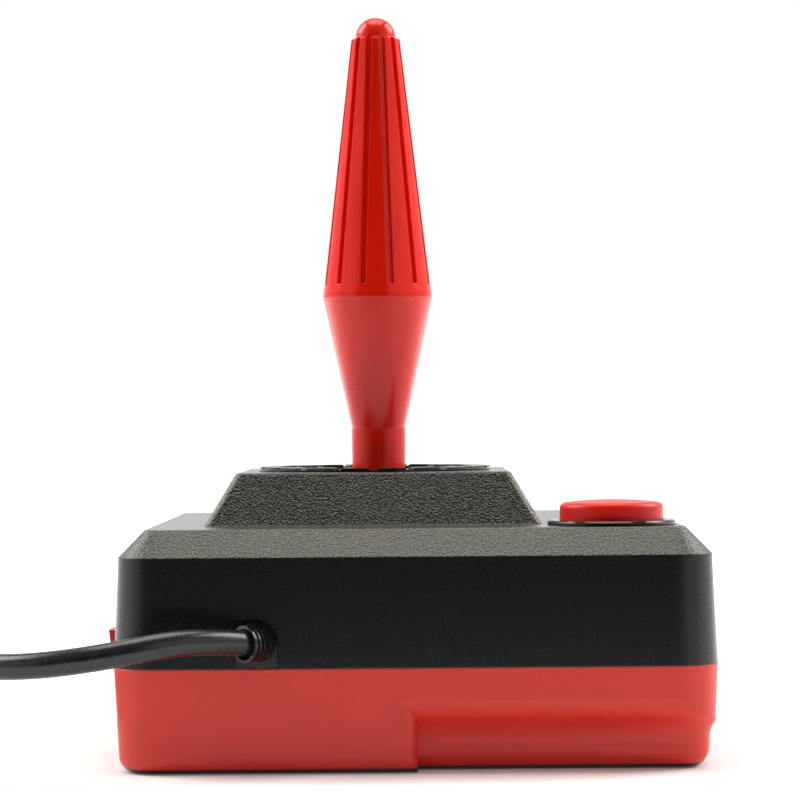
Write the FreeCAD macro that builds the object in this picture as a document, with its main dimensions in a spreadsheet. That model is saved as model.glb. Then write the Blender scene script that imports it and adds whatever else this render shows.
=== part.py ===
import FreeCAD, Part
import math
import os
import re
import Sketcher

# Joystick controller: a square two-part case, a tilting stick on crossed axes, a sprung fire
# button, a slide switch on the left side and a lead with a nine-way plug.
# Frame: the origin is the middle of the flat base, +Z is up, the lead leaves through the -Y face.

Vector = FreeCAD.Vector
Rotation = FreeCAD.Rotation
Placement = FreeCAD.Placement

SIZES = [
    ("body_width", 98.0, "case across X at the seam"),
    ("body_depth", 98.0, "case across Y at the seam"),
    ("base_height", 17.0, "red bottom, floor to seam"),
    ("base_inset", 0.85, "draft of the bottom, each side"),
    ("wall_height", 17.8, "black wall, seam to the foot of the deck's chamfer"),
    ("wall_inset", 0.8, "draft of the black wall, each side"),
    ("chamfer_height", 4.4, "chamfer round the deck"),
    ("chamfer_inset", 4.35, "chamfer round the deck, each side"),
    ("corner_radius", 7.3, "upright corners of the case at the seam"),
    ("wall", 2.2, "side walls"),
    ("slope_wall", 2.6, "walls of the chamfer and the turret, level across"),
    ("roof", 2.0, "deck and turret top"),
    ("base_floor", 2.2, "floor of the bottom"),
    ("base_edge_radius", 2.8, "lower edge of the bottom"),
    ("deck_edge_radius", 0.5, "edges of the deck's chamfer"),
    ("recess_start", 0.2, "X where the finger recess steps in"),
    ("recess_depth", 4.4, "finger recess"),
    ("recess_low", 6.6, "foot of the recess's sloped ceiling"),
    ("recess_rise", 3.6, "height of the recess's sloped ceiling"),
    ("recess_soft", 2.1, "rounding above and below the sloped ceiling, along its sides"),
    ("recess_foot_radius", 3.2, "lower edge of the recess"),
    ("recess_step_radius", 2.8, "edge of the recess's step"),
    ("recess_turn_radius", 4.3, "recess where it turns round the right corner and runs out"),
    ("recess_turn_side", 5.7, "start of that turn from the case's right side"),
    ("recess_turn_angle", 83.0, "angle of that turn"),
    ("stick_x", -6.25, "stick axis, X"),
    ("turret_x", -6.95, "turret's middle, X"),
    ("turret_share", 0.5765, "turret across its foot, as a share of the case's width"),
    ("turret_lean", 5.1, "lean of each of the turret's sides"),
    ("turret_height", 8.7, "turret above the deck"),
    ("turret_corner_radius", 1.2, "slanted corners of the turret"),
    ("turret_edge_radius", 0.7, "top edge of the turret"),
    ("collar_margin", 2.85, "collar ring from the turret's top edge"),
    ("collar_width", 3.4, "collar ring, across its flat"),
    ("collar_height", 0.7, "collar ring above the turret"),
    ("collar_notches", 20, "notches round the collar ring"),
    ("notch_width", 1.4, "collar notch"),
    ("notch_depth", 0.3, "collar notch"),
    ("opening_radius", 8.9, "opening for the stick"),
    ("pivot_drop", 11.9, "tilt axes below the turret top"),
    ("shaft_radius", 4.0, "stick shaft inside the case"),
    ("neck_radius", 4.72, "stick neck"),
    ("neck_sink", 0.9, "neck's foot below the turret top"),
    ("neck_height", 7.4, "neck above the turret top"),
    ("flare_height", 22.9, "plain cone above the neck"),
    ("grip_radius", 9.55, "widest part of the stick"),
    ("grip_band", 1.6, "plain band above the cone"),
    ("rib_radius", 9.4, "ribbed grip at its foot"),
    ("rib_tip_radius", 4.25, "ribbed grip at its top"),
    ("rib_length", 43.7, "ribbed grip"),
    ("tip_radius", 3.5, "round tip"),
    ("tip_height", 3.9, "round tip"),
    ("groove_count", 12, "grooves round the grip"),
    ("groove_width", 1.0, "groove"),
    ("groove_depth", 0.8, "groove"),
    ("groove_land", 0.6, "plain stretch below the grooves"),
    ("groove_turn", 15.0, "first groove's angle from the X axis"),
    ("dome_radius", 12.4, "dust dome, outside, about the tilt axes"),
    ("dome_wall", 1.2, "dust dome"),
    ("dome_skirt", 4.8, "dust dome's rim below the turret top"),
    ("hub_wall", 2.0, "hubs round the shaft"),
    ("fit", 0.02, "press fits, radial"),
    ("running_fit", 0.05, "turning pins, radial"),
    ("gap", 0.3, "clear space round moving pieces"),
    ("ring_radius", 8.0, "gimbal ring, outside"),
    ("ring_bore", 5.2, "gimbal ring, inside"),
    ("ring_height", 6.0, "gimbal ring"),
    ("trunnion_radius", 1.5, "gimbal trunnions"),
    ("cross_pin_radius", 1.25, "cross pin"),
    ("post_start", 12.2, "bearing posts' inner faces from the stick axis"),
    ("post_thickness", 3.5, "bearing posts"),
    ("post_width", 12.0, "bearing posts"),
    ("post_drop", 3.0, "bearing posts below the tilt axis"),
    ("cap_height", 2.0, "bearing caps"),
    ("cap_screw_spacing", 8.4, "bearing cap screws"),
    ("cap_screw_radius", 0.9, "bearing cap screws"),
    ("cap_screw_length", 6.0, "bearing cap screws"),
    ("cap_screw_head", 1.6, "bearing cap screws, head radius"),
    ("plate_radius", 9.0, "actuator plate"),
    ("plate_thickness", 3.0, "actuator plate"),
    ("plate_gap", 2.2, "actuator plate above the direction switches"),
    ("hub_height", 3.5, "actuator plate's hub"),
    ("foot_screw_radius", 1.25, "actuator screw"),
    ("foot_screw_length", 8.0, "actuator screw in the shaft"),
    ("foot_screw_head", 2.7, "actuator screw, head radius"),
    ("foot_screw_head_height", 1.5, "actuator screw, head"),
    ("button_side", 16.5, "fire button from the case's right side"),
    ("button_near", 16.5, "fire button from the case's near side"),
    ("button_radius", 8.55, "fire button"),
    ("button_height", 3.7, "fire button's rim above the deck"),
    ("button_dome", 0.45, "rise of the fire button's top"),
    ("button_round", 1.0, "fire button's edge"),
    ("button_top", 1.8, "fire button's top wall"),
    ("button_wall", 1.35, "fire button's side wall"),
    ("button_travel", 1.6, "fire button"),
    ("button_stem_radius", 2.2, "fire button's stem"),
    ("flange_width", 0.85, "fire button's flange"),
    ("flange_height", 1.4, "fire button's flange"),
    ("well_depth", 1.4, "collar under the deck round the button"),
    ("well_wall", 1.35, "collar under the deck round the button"),
    ("bezel_width", 1.75, "button bezel"),
    ("bezel_height", 0.8, "button bezel"),
    ("bezel_round", 0.3, "button bezel's edge"),
    ("spring_radius", 5.2, "fire spring, middle of the wire"),
    ("spring_wire", 0.4, "fire spring, wire radius"),
    ("spring_turns", 7, "fire spring"),
    ("board_height", 12.0, "circuit board's underside above the floor"),
    ("board_thickness", 1.6, "circuit board"),
    ("board_left", 5.5, "circuit board from the case's left side"),
    ("board_right", 7.0, "circuit board from the case's right side"),
    ("board_near", 8.0, "circuit board from the case's near side"),
    ("board_far", 23.0, "circuit board from the case's far side"),
    ("standoff_side", 8.5, "board standoffs from the board's left and right edges"),
    ("standoff_edge", 6.0, "board standoffs from the board's near and far edges"),
    ("standoff_shift", 15.0, "near right standoff, further from the right edge"),
    ("standoff_back", 7.0, "near left standoff, further from the near edge"),
    ("standoff_radius", 3.0, "board standoffs"),
    ("board_screw_radius", 1.25, "board screws"),
    ("board_screw_length", 7.0, "board screws"),
    ("board_screw_head", 2.4, "board screws, head radius"),
    ("board_screw_head_height", 1.6, "board screws, head"),
    ("tact_side", 6.0, "push switches, square"),
    ("tact_height", 3.5, "push switches, body"),
    ("plunger_radius", 1.75, "push switches, plunger"),
    ("plunger_height", 0.7, "push switches, plunger"),
    ("tact_spread", 8.0, "direction switches from the stick axis"),
    ("slide_y", -15.0, "slide switch"),
    ("slide_travel", 2.5, "slide switch, each way"),
    ("knob_width", 8.0, "slide knob along its travel"),
    ("knob_height", 6.8, "slide knob"),
    ("knob_rise", 1.0, "slide knob's middle above the seam"),
    ("knob_reach", 2.3, "slide knob, out from the wall"),
    ("knob_lean", 0.8, "slide knob, lean of its outer face"),
    ("stem_width", 3.6, "slide knob's stem along its travel"),
    ("stem_height", 2.4, "slide knob's stem"),
    ("slide_body_width", 14.0, "slide switch body"),
    ("slide_body_depth", 5.0, "slide switch body"),
    ("slide_body_back", 1.0, "slide switch body's back wall"),
    ("slide_body_gap", 1.0, "slide switch body from the wall"),
    ("slide_body_rise", 3.4, "slide switch body above the seam"),
    ("relief_side", 23.5, "lead's way out from the case's left side"),
    ("relief_rise", 4.3, "lead's axis above the seam"),
    ("relief_radius", 3.4, "strain relief in the wall"),
    ("relief_flange", 1.4, "strain relief's inner flange, each way"),
    ("relief_flange_depth", 1.6, "strain relief's inner flange"),
    ("sleeve_bend", 5.5, "bend of the strain relief's sleeve"),
    ("sleeve_angle", 48.0, "turn of the strain relief's sleeve"),
    ("sleeve_rings", 8, "rings of the sleeve"),
    ("sleeve_radius", 3.3, "sleeve at the wall"),
    ("sleeve_taper", 0.3, "sleeve, thinner at its mouth"),
    ("ring_depth", 0.22, "grooves between the sleeve's rings"),
    ("mouth_radius", 2.5, "mouth of the sleeve"),
    ("mouth_depth", 2.0, "mouth of the sleeve"),
    ("cable_radius", 2.1, "lead"),
    ("tail_length", 4.0, "lead inside the case"),
    ("header_width", 13.0, "wire header"),
    ("header_depth", 3.0, "wire header"),
    ("header_height", 3.4, "wire header"),
    ("header_reach", 5.2, "wire header from the lead's end"),
    ("wire_radius", 0.38, "wires in the case"),
    ("wire_crowd", 0.8, "wires where they leave the lead"),
    ("wire_pitch", 2.4, "wires at the header"),
    ("case_screw_radius", 1.5, "case screws"),
    ("case_screw_length", 13.0, "case screws"),
    ("case_screw_head", 2.8, "case screws, head radius"),
    ("case_screw_head_height", 2.0, "case screws, head"),
    ("screw_sink", 3.0, "case screw heads' seat above the floor"),
    ("boss_radius", 4.4, "bosses for the case screws"),
    ("boss_height", 10.5, "bosses for the case screws, above the floor"),
    ("pillar_radius", 3.4, "pillars for the case screws"),
    ("screw_side", 9.0, "case screws from the case's left and right sides"),
    ("screw_end", 11.0, "case screws from the case's near and far sides"),
    ("screw_shift", 24.0, "case screw beside the fire button, further from the near side"),
    ("coil_x", -98.1, "coil from the lead's way out"),
    ("coil_y", 50.55, "coil from the lead's way out"),
    ("coil_turn_radius", 23.0, "middle of the coil's turns"),
    ("tie_width", 8.0, "coil tie"),
    ("tie_thickness", 0.9, "coil tie"),
    ("tie_angle", 20.0, "coil tie round the coil"),
    ("plug_x", -95.1, "plug's cable end from the lead's way out"),
    ("plug_y", 94.9, "plug from the lead's way out"),
    ("plug_mouth", 6.7, "plug hood's neck at the lead"),
    ("plug_root", 8.8, "plug hood's neck at the shoulder"),
    ("plug_width", 31.0, "plug hood"),
    ("plug_height", 13.0, "plug hood"),
    ("plug_neck", 6.0, "plug hood's neck"),
    ("plug_shoulder", 7.0, "plug hood's shoulder"),
    ("plug_grip", 15.0, "plug hood's grip"),
    ("plug_round", 2.5, "plug hood's corners"),
    ("plug_margin", 0.5, "plug hood round the metal face"),
    ("face_thickness", 0.8, "plug's metal face"),
    ("shell_width", 16.6, "plug's metal shell"),
    ("shell_height", 8.2, "plug's metal shell"),
    ("shell_slant", 1.2, "slant of the metal shell's sides"),
    ("shell_length", 5.8, "plug's metal shell"),
    ("shell_wall", 0.5, "plug's metal shell"),
    ("socket_radius", 0.55, "plug's sockets"),
    ("socket_pitch", 2.77, "plug's sockets"),
    ("socket_rows", 2.84, "plug's socket rows"),
    ("socket_depth", 4.0, "plug's sockets"),
]

# Sizes that follow from others.
DERIVED = [
    ("turret_foot", "turret_share * body_width", "turret across its foot"),
    ("turret_top", "turret_foot - 2 * turret_lean", "turret across its top"),
    ("collar_radius", "turret_top / 2 - collar_margin", "collar ring, outside"),
    ("relief_x", "relief_side - body_width / 2", "lead's way out"),
]

DIRECTIONS = [("1", "0"), ("0", "1"), ("-1", "0"), ("0", "-1")]
SIDES = ["1", "-1"]
WIRES = [-2, -1, 0, 1, 2]
VERTEX = {"start": 1, "end": 2}
COIL_TURNS = 4
PAST = 1

# The lead's route from the sleeve's mouth to the coil: X and Y from where it leaves the wall, and
# the height as a share of the way up from the floor to the sleeve.
LEAD_ROUTE = [
    (-0.6, -3.0, 1.0),
    (-9.7, -11.2, 1.08),
    (-21.7, -15.4, 0.96),
    (-33.7, -13.6, 0.87),
    (-44.1, -7.8, 0.85),
    (-53.7, 0.2, 0.68),
    (-63.5, 8.2, 0.42),
    (-74.7, 15.0, 0.16),
    (-87.7, 19.8, 0.02),
    (-101.0, 21.4, 0.0),
]
# Its route from the coil to the plug: X and Y from where it leaves the wall, Z from the floor.
TAIL_ROUTE = [
    (-129.5, 50.6, 5.8),
    (-129.9, 61.1, 4.6),
    (-129.1, 72.6, 3.2),
    (-124.7, 82.6, 3.0),
    (-116.8, 90.2, 4.4),
    (-106.5, 94.4, 6.2),
    (-95.3, 94.9, 6.5),
]

# Heights that several pieces share.
SEAM = "base_height"
SHOULDER = "(base_height + wall_height)"
DECK = "(base_height + wall_height + chamfer_height)"
CROWN = "(base_height + wall_height + chamfer_height + turret_height)"
PIVOT = f"({CROWN} - pivot_drop)"
BOARD_TOP = "(board_height + board_thickness)"
PLUNGER_TOP = f"({BOARD_TOP} + tact_height + plunger_height)"
PLATE_FOOT = f"({PLUNGER_TOP} + plate_gap)"
SHAFT_FOOT = f"({PLATE_FOOT} + plate_thickness)"
NECK_FOOT = f"({CROWN} - neck_sink)"
LEAD_AXIS = "(base_height + relief_rise)"
TURRET_SLOPE = "(turret_lean / turret_height)"
CHAMFER_SLOPE = "(chamfer_inset / chamfer_height)"
DECK_INSET = "(wall_inset + chamfer_inset)"
WELL_FOOT = f"({DECK} - roof - well_depth)"
FLANGE_TOP = f"({WELL_FOOT} - gap)"
BUTTON_TOP = f"({DECK} + button_height)"
BUTTON_HOLE = "(button_radius + gap)"
CAP_UNDERSIDE = f"({BUTTON_TOP} - button_top)"

# Places that several pieces share.
RECESS_TURN_X = "(body_width / 2 - recess_turn_side)"
BUTTON_X = "(body_width / 2 - button_side)"
BUTTON_Y = "(button_near - body_depth / 2)"
SCREW_LEFT = "(screw_side - body_width / 2)"
SCREW_RIGHT = "(body_width / 2 - screw_side)"
SCREW_NEAR = "(screw_end - body_depth / 2)"
SCREW_FAR = "(body_depth / 2 - screw_end)"
SCREW_PLACES = [
    (SCREW_LEFT, SCREW_NEAR),
    (SCREW_RIGHT, f"({SCREW_NEAR} + screw_shift)"),
    (SCREW_LEFT, SCREW_FAR),
    (SCREW_RIGHT, SCREW_FAR),
]
BOARD_LEFT = "(board_left - body_width / 2)"
BOARD_RIGHT = "(body_width / 2 - board_right)"
BOARD_NEAR = "(board_near - body_depth / 2)"
BOARD_FAR = "(body_depth / 2 - board_far)"
STANDOFF_PLACES = [
    (f"({BOARD_LEFT} + standoff_side)", f"({BOARD_NEAR} + standoff_edge + standoff_back)"),
    (f"({BOARD_RIGHT} - standoff_side - standoff_shift)", f"({BOARD_NEAR} + standoff_edge)"),
    (f"({BOARD_LEFT} + standoff_side)", f"({BOARD_FAR} - standoff_edge)"),
    (f"({BOARD_RIGHT} - standoff_side)", f"({BOARD_FAR} - standoff_edge)"),
]
WALL_LEAN = "(wall_inset * (relief_rise + relief_radius + relief_flange) / wall_height)"
RELIEF_BACK = f"(wall + {WALL_LEAN} + running_fit - body_depth / 2)"
LEAD_START = f"({RELIEF_BACK} + relief_flange_depth)"
LEAD_END = f"({LEAD_START} + tail_length)"
HEADER_Y = f"({LEAD_END} + header_reach)"

ALONG_X = Rotation(Vector(0, 1, 0), 90)
ALONG_Y = Rotation(Vector(1, 0, 0), -90)
TOUCH = 1e-3

DOC = FreeCAD.newDocument("joystick_controller")
SHEET = DOC.addObject("Spreadsheet::Sheet", "sizes")
SUBPARTS = []


def fill_sheet():
    derived = [(alias, f"={formula}", meaning) for alias, formula, meaning in DERIVED]
    for row, (alias, content, meaning) in enumerate(SIZES + derived, start=1):
        SHEET.set(f"A{row}", alias)
        SHEET.set(f"B{row}", str(content))
        SHEET.set(f"C{row}", meaning)
        SHEET.setAlias(f"B{row}", alias)
    DOC.recompute()


NAMES = {alias for alias, _, _ in SIZES + DERIVED}


def linked(expression):
    """The expression with every size name pointed at its cell."""
    def point(word):
        return f"sizes.{word.group()}" if word.group() in NAMES else word.group()

    return re.sub(r"[a-z][a-z_]*", point, expression)


def value(expression):
    """The number that an expression of sizes comes to."""
    return float(SHEET.evalExpression(expression))


def bind(item, sizes, at=("0", "0", "0"), turn=Rotation()):
    """Ties an object's sizes and its place to the sheet."""
    item.Placement = Placement(Vector(*[value(part) for part in at]), turn)
    for name, expression in sizes.items():
        item.setExpression(name, linked(expression))
    for letter, expression in zip("xyz", at):
        item.setExpression(f"Placement.Base.{letter}", linked(expression))
    return item


def cylinder(name, radius, height, at, turn=Rotation()):
    return bind(DOC.addObject("Part::Cylinder", name), {"Radius": radius, "Height": height}, at, turn)


def box(name, length, width, height, at):
    sizes = {"Length": length, "Width": width, "Height": height}
    return bind(DOC.addObject("Part::Box", name), sizes, at)


def fused(name, pieces):
    whole = DOC.addObject("Part::MultiFuse", name)
    whole.Shapes = pieces
    return whole


def cut(name, base, tools):
    result = DOC.addObject("Part::Cut", name)
    result.Base = base
    result.Tool = tools[0] if len(tools) == 1 else fused(f"{name}_tools", tools)
    return result


def grouped(name, pieces):
    group = DOC.addObject("Part::Compound", name)
    group.Links = pieces
    return group


def subpart(item, label):
    item.Label = label
    SUBPARTS.append(item)
    return item


def new_body(name):
    return DOC.addObject("PartDesign::Body", name)


def add_cylinder(body, way, name, radius, height, at, turn=Rotation()):
    feature = body.newObject(f"PartDesign::{way}Cylinder", name)
    return bind(feature, {"Radius": radius, "Height": height}, at, turn)


def add_box(body, way, name, length, width, height, at):
    feature = body.newObject(f"PartDesign::{way}Box", name)
    return bind(feature, {"Length": length, "Width": width, "Height": height}, at)


def sketch_on(body, name, role, height="0", x="0"):
    """A sketch at a height above one of the body's own planes, moved along the plane by x."""
    sketch = body.newObject("Sketcher::SketchObject", name)
    plane = next(item for item in body.Origin.OriginFeatures if item.Role == role)
    sketch.AttachmentSupport = [(plane, "")]
    sketch.MapMode = "FlatFace"
    sketch.AttachmentOffset = Placement(Vector(value(x), 0, value(height)), Rotation())
    sketch.setExpression("AttachmentOffset.Base.x", linked(x))
    sketch.setExpression("AttachmentOffset.Base.z", linked(height))
    return sketch


def dimension(sketch, constraint, expression):
    number = sketch.addConstraint(constraint)
    sketch.setExpression(f"Constraints[{number}]", linked(expression))


def arc_side(start, end, bend):
    """An arc between two points, to the left on its way for a positive radius."""
    chord = end - start
    left = Vector(-chord.y, chord.x, 0).normalize()
    height = math.sqrt(max(bend ** 2 - (chord.Length / 2) ** 2, 0))
    centre = (start + end) / 2 + left * math.copysign(height, bend)
    first, last = (start, end) if bend > 0 else (end, start)
    angles = [math.atan2(point.y - centre.y, point.x - centre.x) for point in (first, last)]
    return Part.ArcOfCircle(Part.Circle(centre, Vector(0, 0, 1), abs(bend)), *angles)


def outline(body, name, role, corners, height="0", closed=True):
    """A closed or open sketch through corners that are tied to the sheet, at a height above its plane.

    A corner with a third value starts an arc of that radius, to the left on its way to the next
    corner, or to the right where the radius is negative. Other sides are straight.
    """
    sketch = sketch_on(body, name, role, height)
    points = [Vector(value(corner[0]), value(corner[1]), 0) for corner in corners]
    bends = [value(corner[2]) if len(corner) > 2 else 0 for corner in corners]
    count = len(points)
    sides = count if closed else count - 1
    for index in range(sides):
        start, end = points[index], points[(index + 1) % count]
        bend = bends[index]
        sketch.addGeometry(arc_side(start, end, bend) if bend else Part.LineSegment(start, end))
    starts = [VERTEX["end" if bend < 0 else "start"] for bend in bends]
    ends = [VERTEX["start" if bend < 0 else "end"] for bend in bends]
    for index in range(sides if closed else sides - 1):
        after = (index + 1) % count
        join = Sketcher.Constraint("Coincident", index, ends[index], after, starts[after])
        sketch.addConstraint(join)
    for index, corner in enumerate(corners):
        place = points[index]
        side, end = (index, starts[index]) if index < sides else (index - 1, ends[index - 1])
        dimension(sketch, Sketcher.Constraint("DistanceX", -1, 1, side, end, place.x), corner[0])
        dimension(sketch, Sketcher.Constraint("DistanceY", -1, 1, side, end, place.y), corner[1])
        if bends[index]:
            dimension(sketch, Sketcher.Constraint("Radius", index, abs(bends[index])), f"abs({corner[2]})")
    return sketch


def rounded_rectangle(body, name, role, height, width, depth, radius, x="0"):
    """A rounded rectangle, its middle at x, lying at a height above its plane."""
    sketch = sketch_on(body, name, role, height, x)
    half_width = value(width) / 2
    half_depth = value(depth) / 2
    bend = value(radius)
    flat = half_width - bend
    side = half_depth - bend
    lines = [
        (Vector(-flat, -half_depth), Vector(flat, -half_depth)),
        (Vector(half_width, -side), Vector(half_width, side)),
        (Vector(flat, half_depth), Vector(-flat, half_depth)),
        (Vector(-half_width, side), Vector(-half_width, -side)),
    ]
    centres = [Vector(flat, -side), Vector(flat, side), Vector(-flat, side), Vector(-flat, -side)]
    for index in range(4):
        start = math.radians(90 * (index - 1))
        circle = Part.Circle(centres[index], Vector(0, 0, 1), bend)
        sketch.addGeometry(Part.LineSegment(*lines[index]))
        sketch.addGeometry(Part.ArcOfCircle(circle, start, start + math.pi / 2))
    for index in range(8):
        sketch.addConstraint(Sketcher.Constraint("Tangent", index, 2, (index + 1) % 8, 1))
    for line in (0, 4):
        sketch.addConstraint(Sketcher.Constraint("Horizontal", line))
        sketch.addConstraint(Sketcher.Constraint("Vertical", line + 2))
    for arc in (3, 5, 7):
        sketch.addConstraint(Sketcher.Constraint("Equal", 1, arc))
    sketch.addConstraint(Sketcher.Constraint("Symmetric", 0, 1, 4, 1, -1, 1))
    dimension(sketch, Sketcher.Constraint("DistanceX", 6, 1, 2, 1, 2 * half_width), width)
    dimension(sketch, Sketcher.Constraint("DistanceY", 0, 1, 4, 1, 2 * half_depth), depth)
    dimension(sketch, Sketcher.Constraint("Radius", 1, bend), radius)
    return sketch


def tapered_pad(body, name, section, length, lean):
    """A pad whose sides lean outwards by a distance over its length."""
    pad = body.newObject("PartDesign::Pad", name)
    pad.Profile = section
    pad.setExpression("Length", linked(length))
    pad.setExpression("TaperAngle", linked(f"atan(({lean}) / ({length}))"))
    return pad


def loft(body, way, name, sections):
    feature = body.newObject(f"PartDesign::{way}Loft", name)
    feature.Profile = sections[0]
    feature.Sections = sections[1:]
    feature.Ruled = True
    return feature


def revolved(body, name, corners):
    """A solid of revolution about the body's Z axis from a half section."""
    sketch = outline(body, f"{name}_section", "XZ_Plane", corners)
    feature = body.newObject("PartDesign::Revolution", name)
    feature.Profile = sketch
    feature.ReferenceAxis = (sketch, ["V_Axis"])
    feature.Angle = 360
    return feature


def edges_where(feature, test):
    """The names of a feature's edges whose bounding box passes a test."""
    return [f"Edge{number}" for number, edge in enumerate(feature.Shape.Edges, 1) if test(edge.BoundBox)]


def level(height):
    return lambda bounds: abs(bounds.ZMin - height) < TOUCH and abs(bounds.ZMax - height) < TOUCH


def rounded_edges(body, name, feature, test, radius):
    DOC.recompute()
    fillet = body.newObject("PartDesign::Fillet", name)
    fillet.Base = (feature, edges_where(feature, test))
    fillet.setExpression("Radius", linked(radius))
    DOC.recompute()
    return fillet


def turned_pattern(body, name, feature, count):
    """Copies of a feature spread evenly round the body's Z axis."""
    axis = next(item for item in body.Origin.OriginFeatures if item.Role == "Z_Axis")
    pattern = body.newObject("PartDesign::PolarPattern", name)
    pattern.Originals = [feature]
    pattern.Axis = (axis, [""])
    pattern.Angle = 360
    pattern.setExpression("Occurrences", linked(count))
    body.Tip = pattern
    return pattern


def screw(name, at, radius, length, head_radius, head_height, up):
    """A screw whose head's seat is at a point and whose shank points up or down."""
    x, y, seat = at
    shank_foot = seat if up else f"{seat} - {length}"
    head_foot = f"{seat} - {head_height}" if up else seat
    shank = cylinder(f"{name}_shank", radius, length, (x, y, shank_foot))
    head = cylinder(f"{name}_head", head_radius, head_height, (x, y, head_foot))
    return fused(name, [shank, head])


def case_section(body, name, height, inset):
    width = f"body_width - 2 * ({inset})"
    depth = f"body_depth - 2 * ({inset})"
    radius = f"corner_radius - ({inset})"
    return rounded_rectangle(body, name, "XY_Plane", height, width, depth, radius)


def turret_section(body, name, height, width):
    return rounded_rectangle(body, name, "XY_Plane", height, width, width, "turret_corner_radius", "turret_x")


def bottom_shell():
    """Red bottom: drafted tray with a finger recess, screw bosses and board standoffs."""
    block = new_body("base_block")
    foot = case_section(block, "base_foot_section", "0", "base_inset")
    solid = tapered_pad(block, "base_pad", foot, SEAM, "base_inset")
    rounded_edges(block, "base_edge_round", solid, level(0), "base_edge_radius")
    recessed = cut("base_recessed", block, [recess_cutter()])
    DOC.recompute()
    if recessed.Shape.Volume >= block.Shape.Volume:
        raise RuntimeError("the finger recess cuts nothing")

    hollow = new_body("base_hollow")
    foot = case_section(hollow, "hollow_foot_section", "base_floor", "base_inset + wall")
    tapered_pad(hollow, "hollow_pad", foot, SEAM, "base_inset")
    recess_back(hollow)
    tray = cut("base_tray", recessed, [hollow])

    bosses = []
    holes = []
    for index, (x, y) in enumerate(SCREW_PLACES):
        foot = (x, y, "base_floor / 2")
        seat = (x, y, "screw_sink")
        bosses.append(cylinder(f"boss_{index}", "boss_radius", "boss_height - base_floor / 2", foot))
        holes.append(cylinder(f"boss_bore_{index}", "case_screw_radius + gap", "boss_height", seat))
        holes.append(cylinder(f"boss_sink_{index}", "case_screw_head + gap", "screw_sink", (x, y, "0")))
    for index, (x, y) in enumerate(STANDOFF_PLACES):
        foot = (x, y, "base_floor / 2")
        end = (x, y, f"{BOARD_TOP} - board_screw_length")
        bore = "board_screw_radius + fit"
        bosses.append(cylinder(f"standoff_{index}", "standoff_radius", "board_height - base_floor / 2", foot))
        holes.append(cylinder(f"standoff_bore_{index}", bore, "board_screw_length", end))
    holes.append(slide_slot())
    subpart(cut("bottom_shell_cut", fused("base_tray_bosses", [tray] + bosses), holes), "bottom_shell")


def recess_cutter():
    """The finger recess: a soft step, an upright back, a rounded foot and a soft sloped ceiling.

    Its section follows a path along the near side and round the right corner, where it runs out.
    """
    sweep = new_body("recess_sweep")
    back = "(recess_depth - body_depth / 2)"
    top = "(recess_low + recess_rise + recess_soft)"
    depth = f"(recess_depth - base_inset * (1 - {top} / {SEAM}))"
    slant = f"sqrt({depth} ^ 2 + recess_rise ^ 2)"
    bend = f"recess_soft * ({slant} + recess_rise) / {depth}"
    across = f"recess_soft * {depth} / {slant}"
    up = f"recess_soft * recess_rise / {slant}"
    outside = f"{back} - 3 * recess_depth"
    corners = [
        (outside, f"-{PAST}"),
        (f"{back} + recess_foot_radius", f"-{PAST}"),
        (f"{back} + recess_foot_radius", "0", "-recess_foot_radius"),
        (back, "recess_foot_radius"),
        (back, "recess_low - recess_soft", bend),
        (f"{back} - {across}", f"recess_low + {up}"),
        (f"{back} - {depth} + {across}", f"{top} - recess_soft - {up}", f"-{bend}"),
        (f"{back} - {depth}", top),
        (outside, top),
    ]
    first = f"(recess_start - recess_step_radius - {PAST})"
    section = outline(sweep, "recess_section", "YZ_Plane", corners, first)
    sine = "sin(recess_turn_angle * 1deg)"
    cosine = "cos(recess_turn_angle * 1deg)"
    out_x = f"({RECESS_TURN_X} + recess_turn_radius * {sine})"
    out_y = f"({back} + recess_turn_radius * (1 - {cosine}))"
    points = [
        (first, back),
        (RECESS_TURN_X, back, "recess_turn_radius"),
        (out_x, out_y),
        (f"{out_x} + body_depth / 4 * {cosine}", f"{out_y} + body_depth / 4 * {sine}"),
    ]
    path = outline(sweep, "recess_path", "XY_Plane", points, closed=False)
    pipe = sweep.newObject("PartDesign::AdditivePipe", "recess_pipe")
    pipe.Profile = section
    pipe.Spine = (path, ["Edge1", "Edge2", "Edge3"])

    step = new_body("recess_step")
    face = f"(base_inset * (1 - recess_low / {SEAM}) - body_depth / 2)"
    edge = "(recess_start - recess_step_radius)"
    corners = [
        (edge, "-body_depth"),
        (edge, face, "recess_step_radius"),
        ("recess_start", f"{face} + recess_step_radius"),
        ("recess_start", "0"),
        ("body_width", "0"),
        ("body_width", "-body_depth"),
    ]
    pad = step.newObject("PartDesign::Pad", "recess_step_pad")
    pad.Profile = outline(step, "recess_step_section", "XY_Plane", corners, f"-{PAST}")
    pad.setExpression("Length", linked(f"2 * {SEAM}"))
    cutter = DOC.addObject("Part::MultiCommon", "recess_cutter")
    cutter.Shapes = [sweep, step]
    return cutter


def recess_back(body):
    """Cuts the hollow back behind the finger recess, so that a wall is left round it."""
    back = "(recess_depth + wall - body_depth / 2)"
    low = "(recess_low + wall)"
    high = f"({low} + recess_rise * (1 + {PAST} / recess_depth))"
    corners = [
        ("-body_depth", "0"),
        (back, "0"),
        (back, low),
        (f"{back} - recess_depth - {PAST}", high),
        ("-body_depth", high),
    ]
    pocket = body.newObject("PartDesign::Pocket", "recess_back")
    pocket.Profile = outline(body, "recess_back_section", "YZ_Plane", corners, "recess_start - wall")
    pocket.Reversed = True
    pocket.setExpression("Length", linked("body_width"))
    add_box(
        body, "Subtractive", "recess_back_corner", "recess_turn_side", "recess_depth + recess_turn_radius",
        f"{low} + recess_rise", (RECESS_TURN_X, "-body_depth / 2", "0"),
    )


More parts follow.
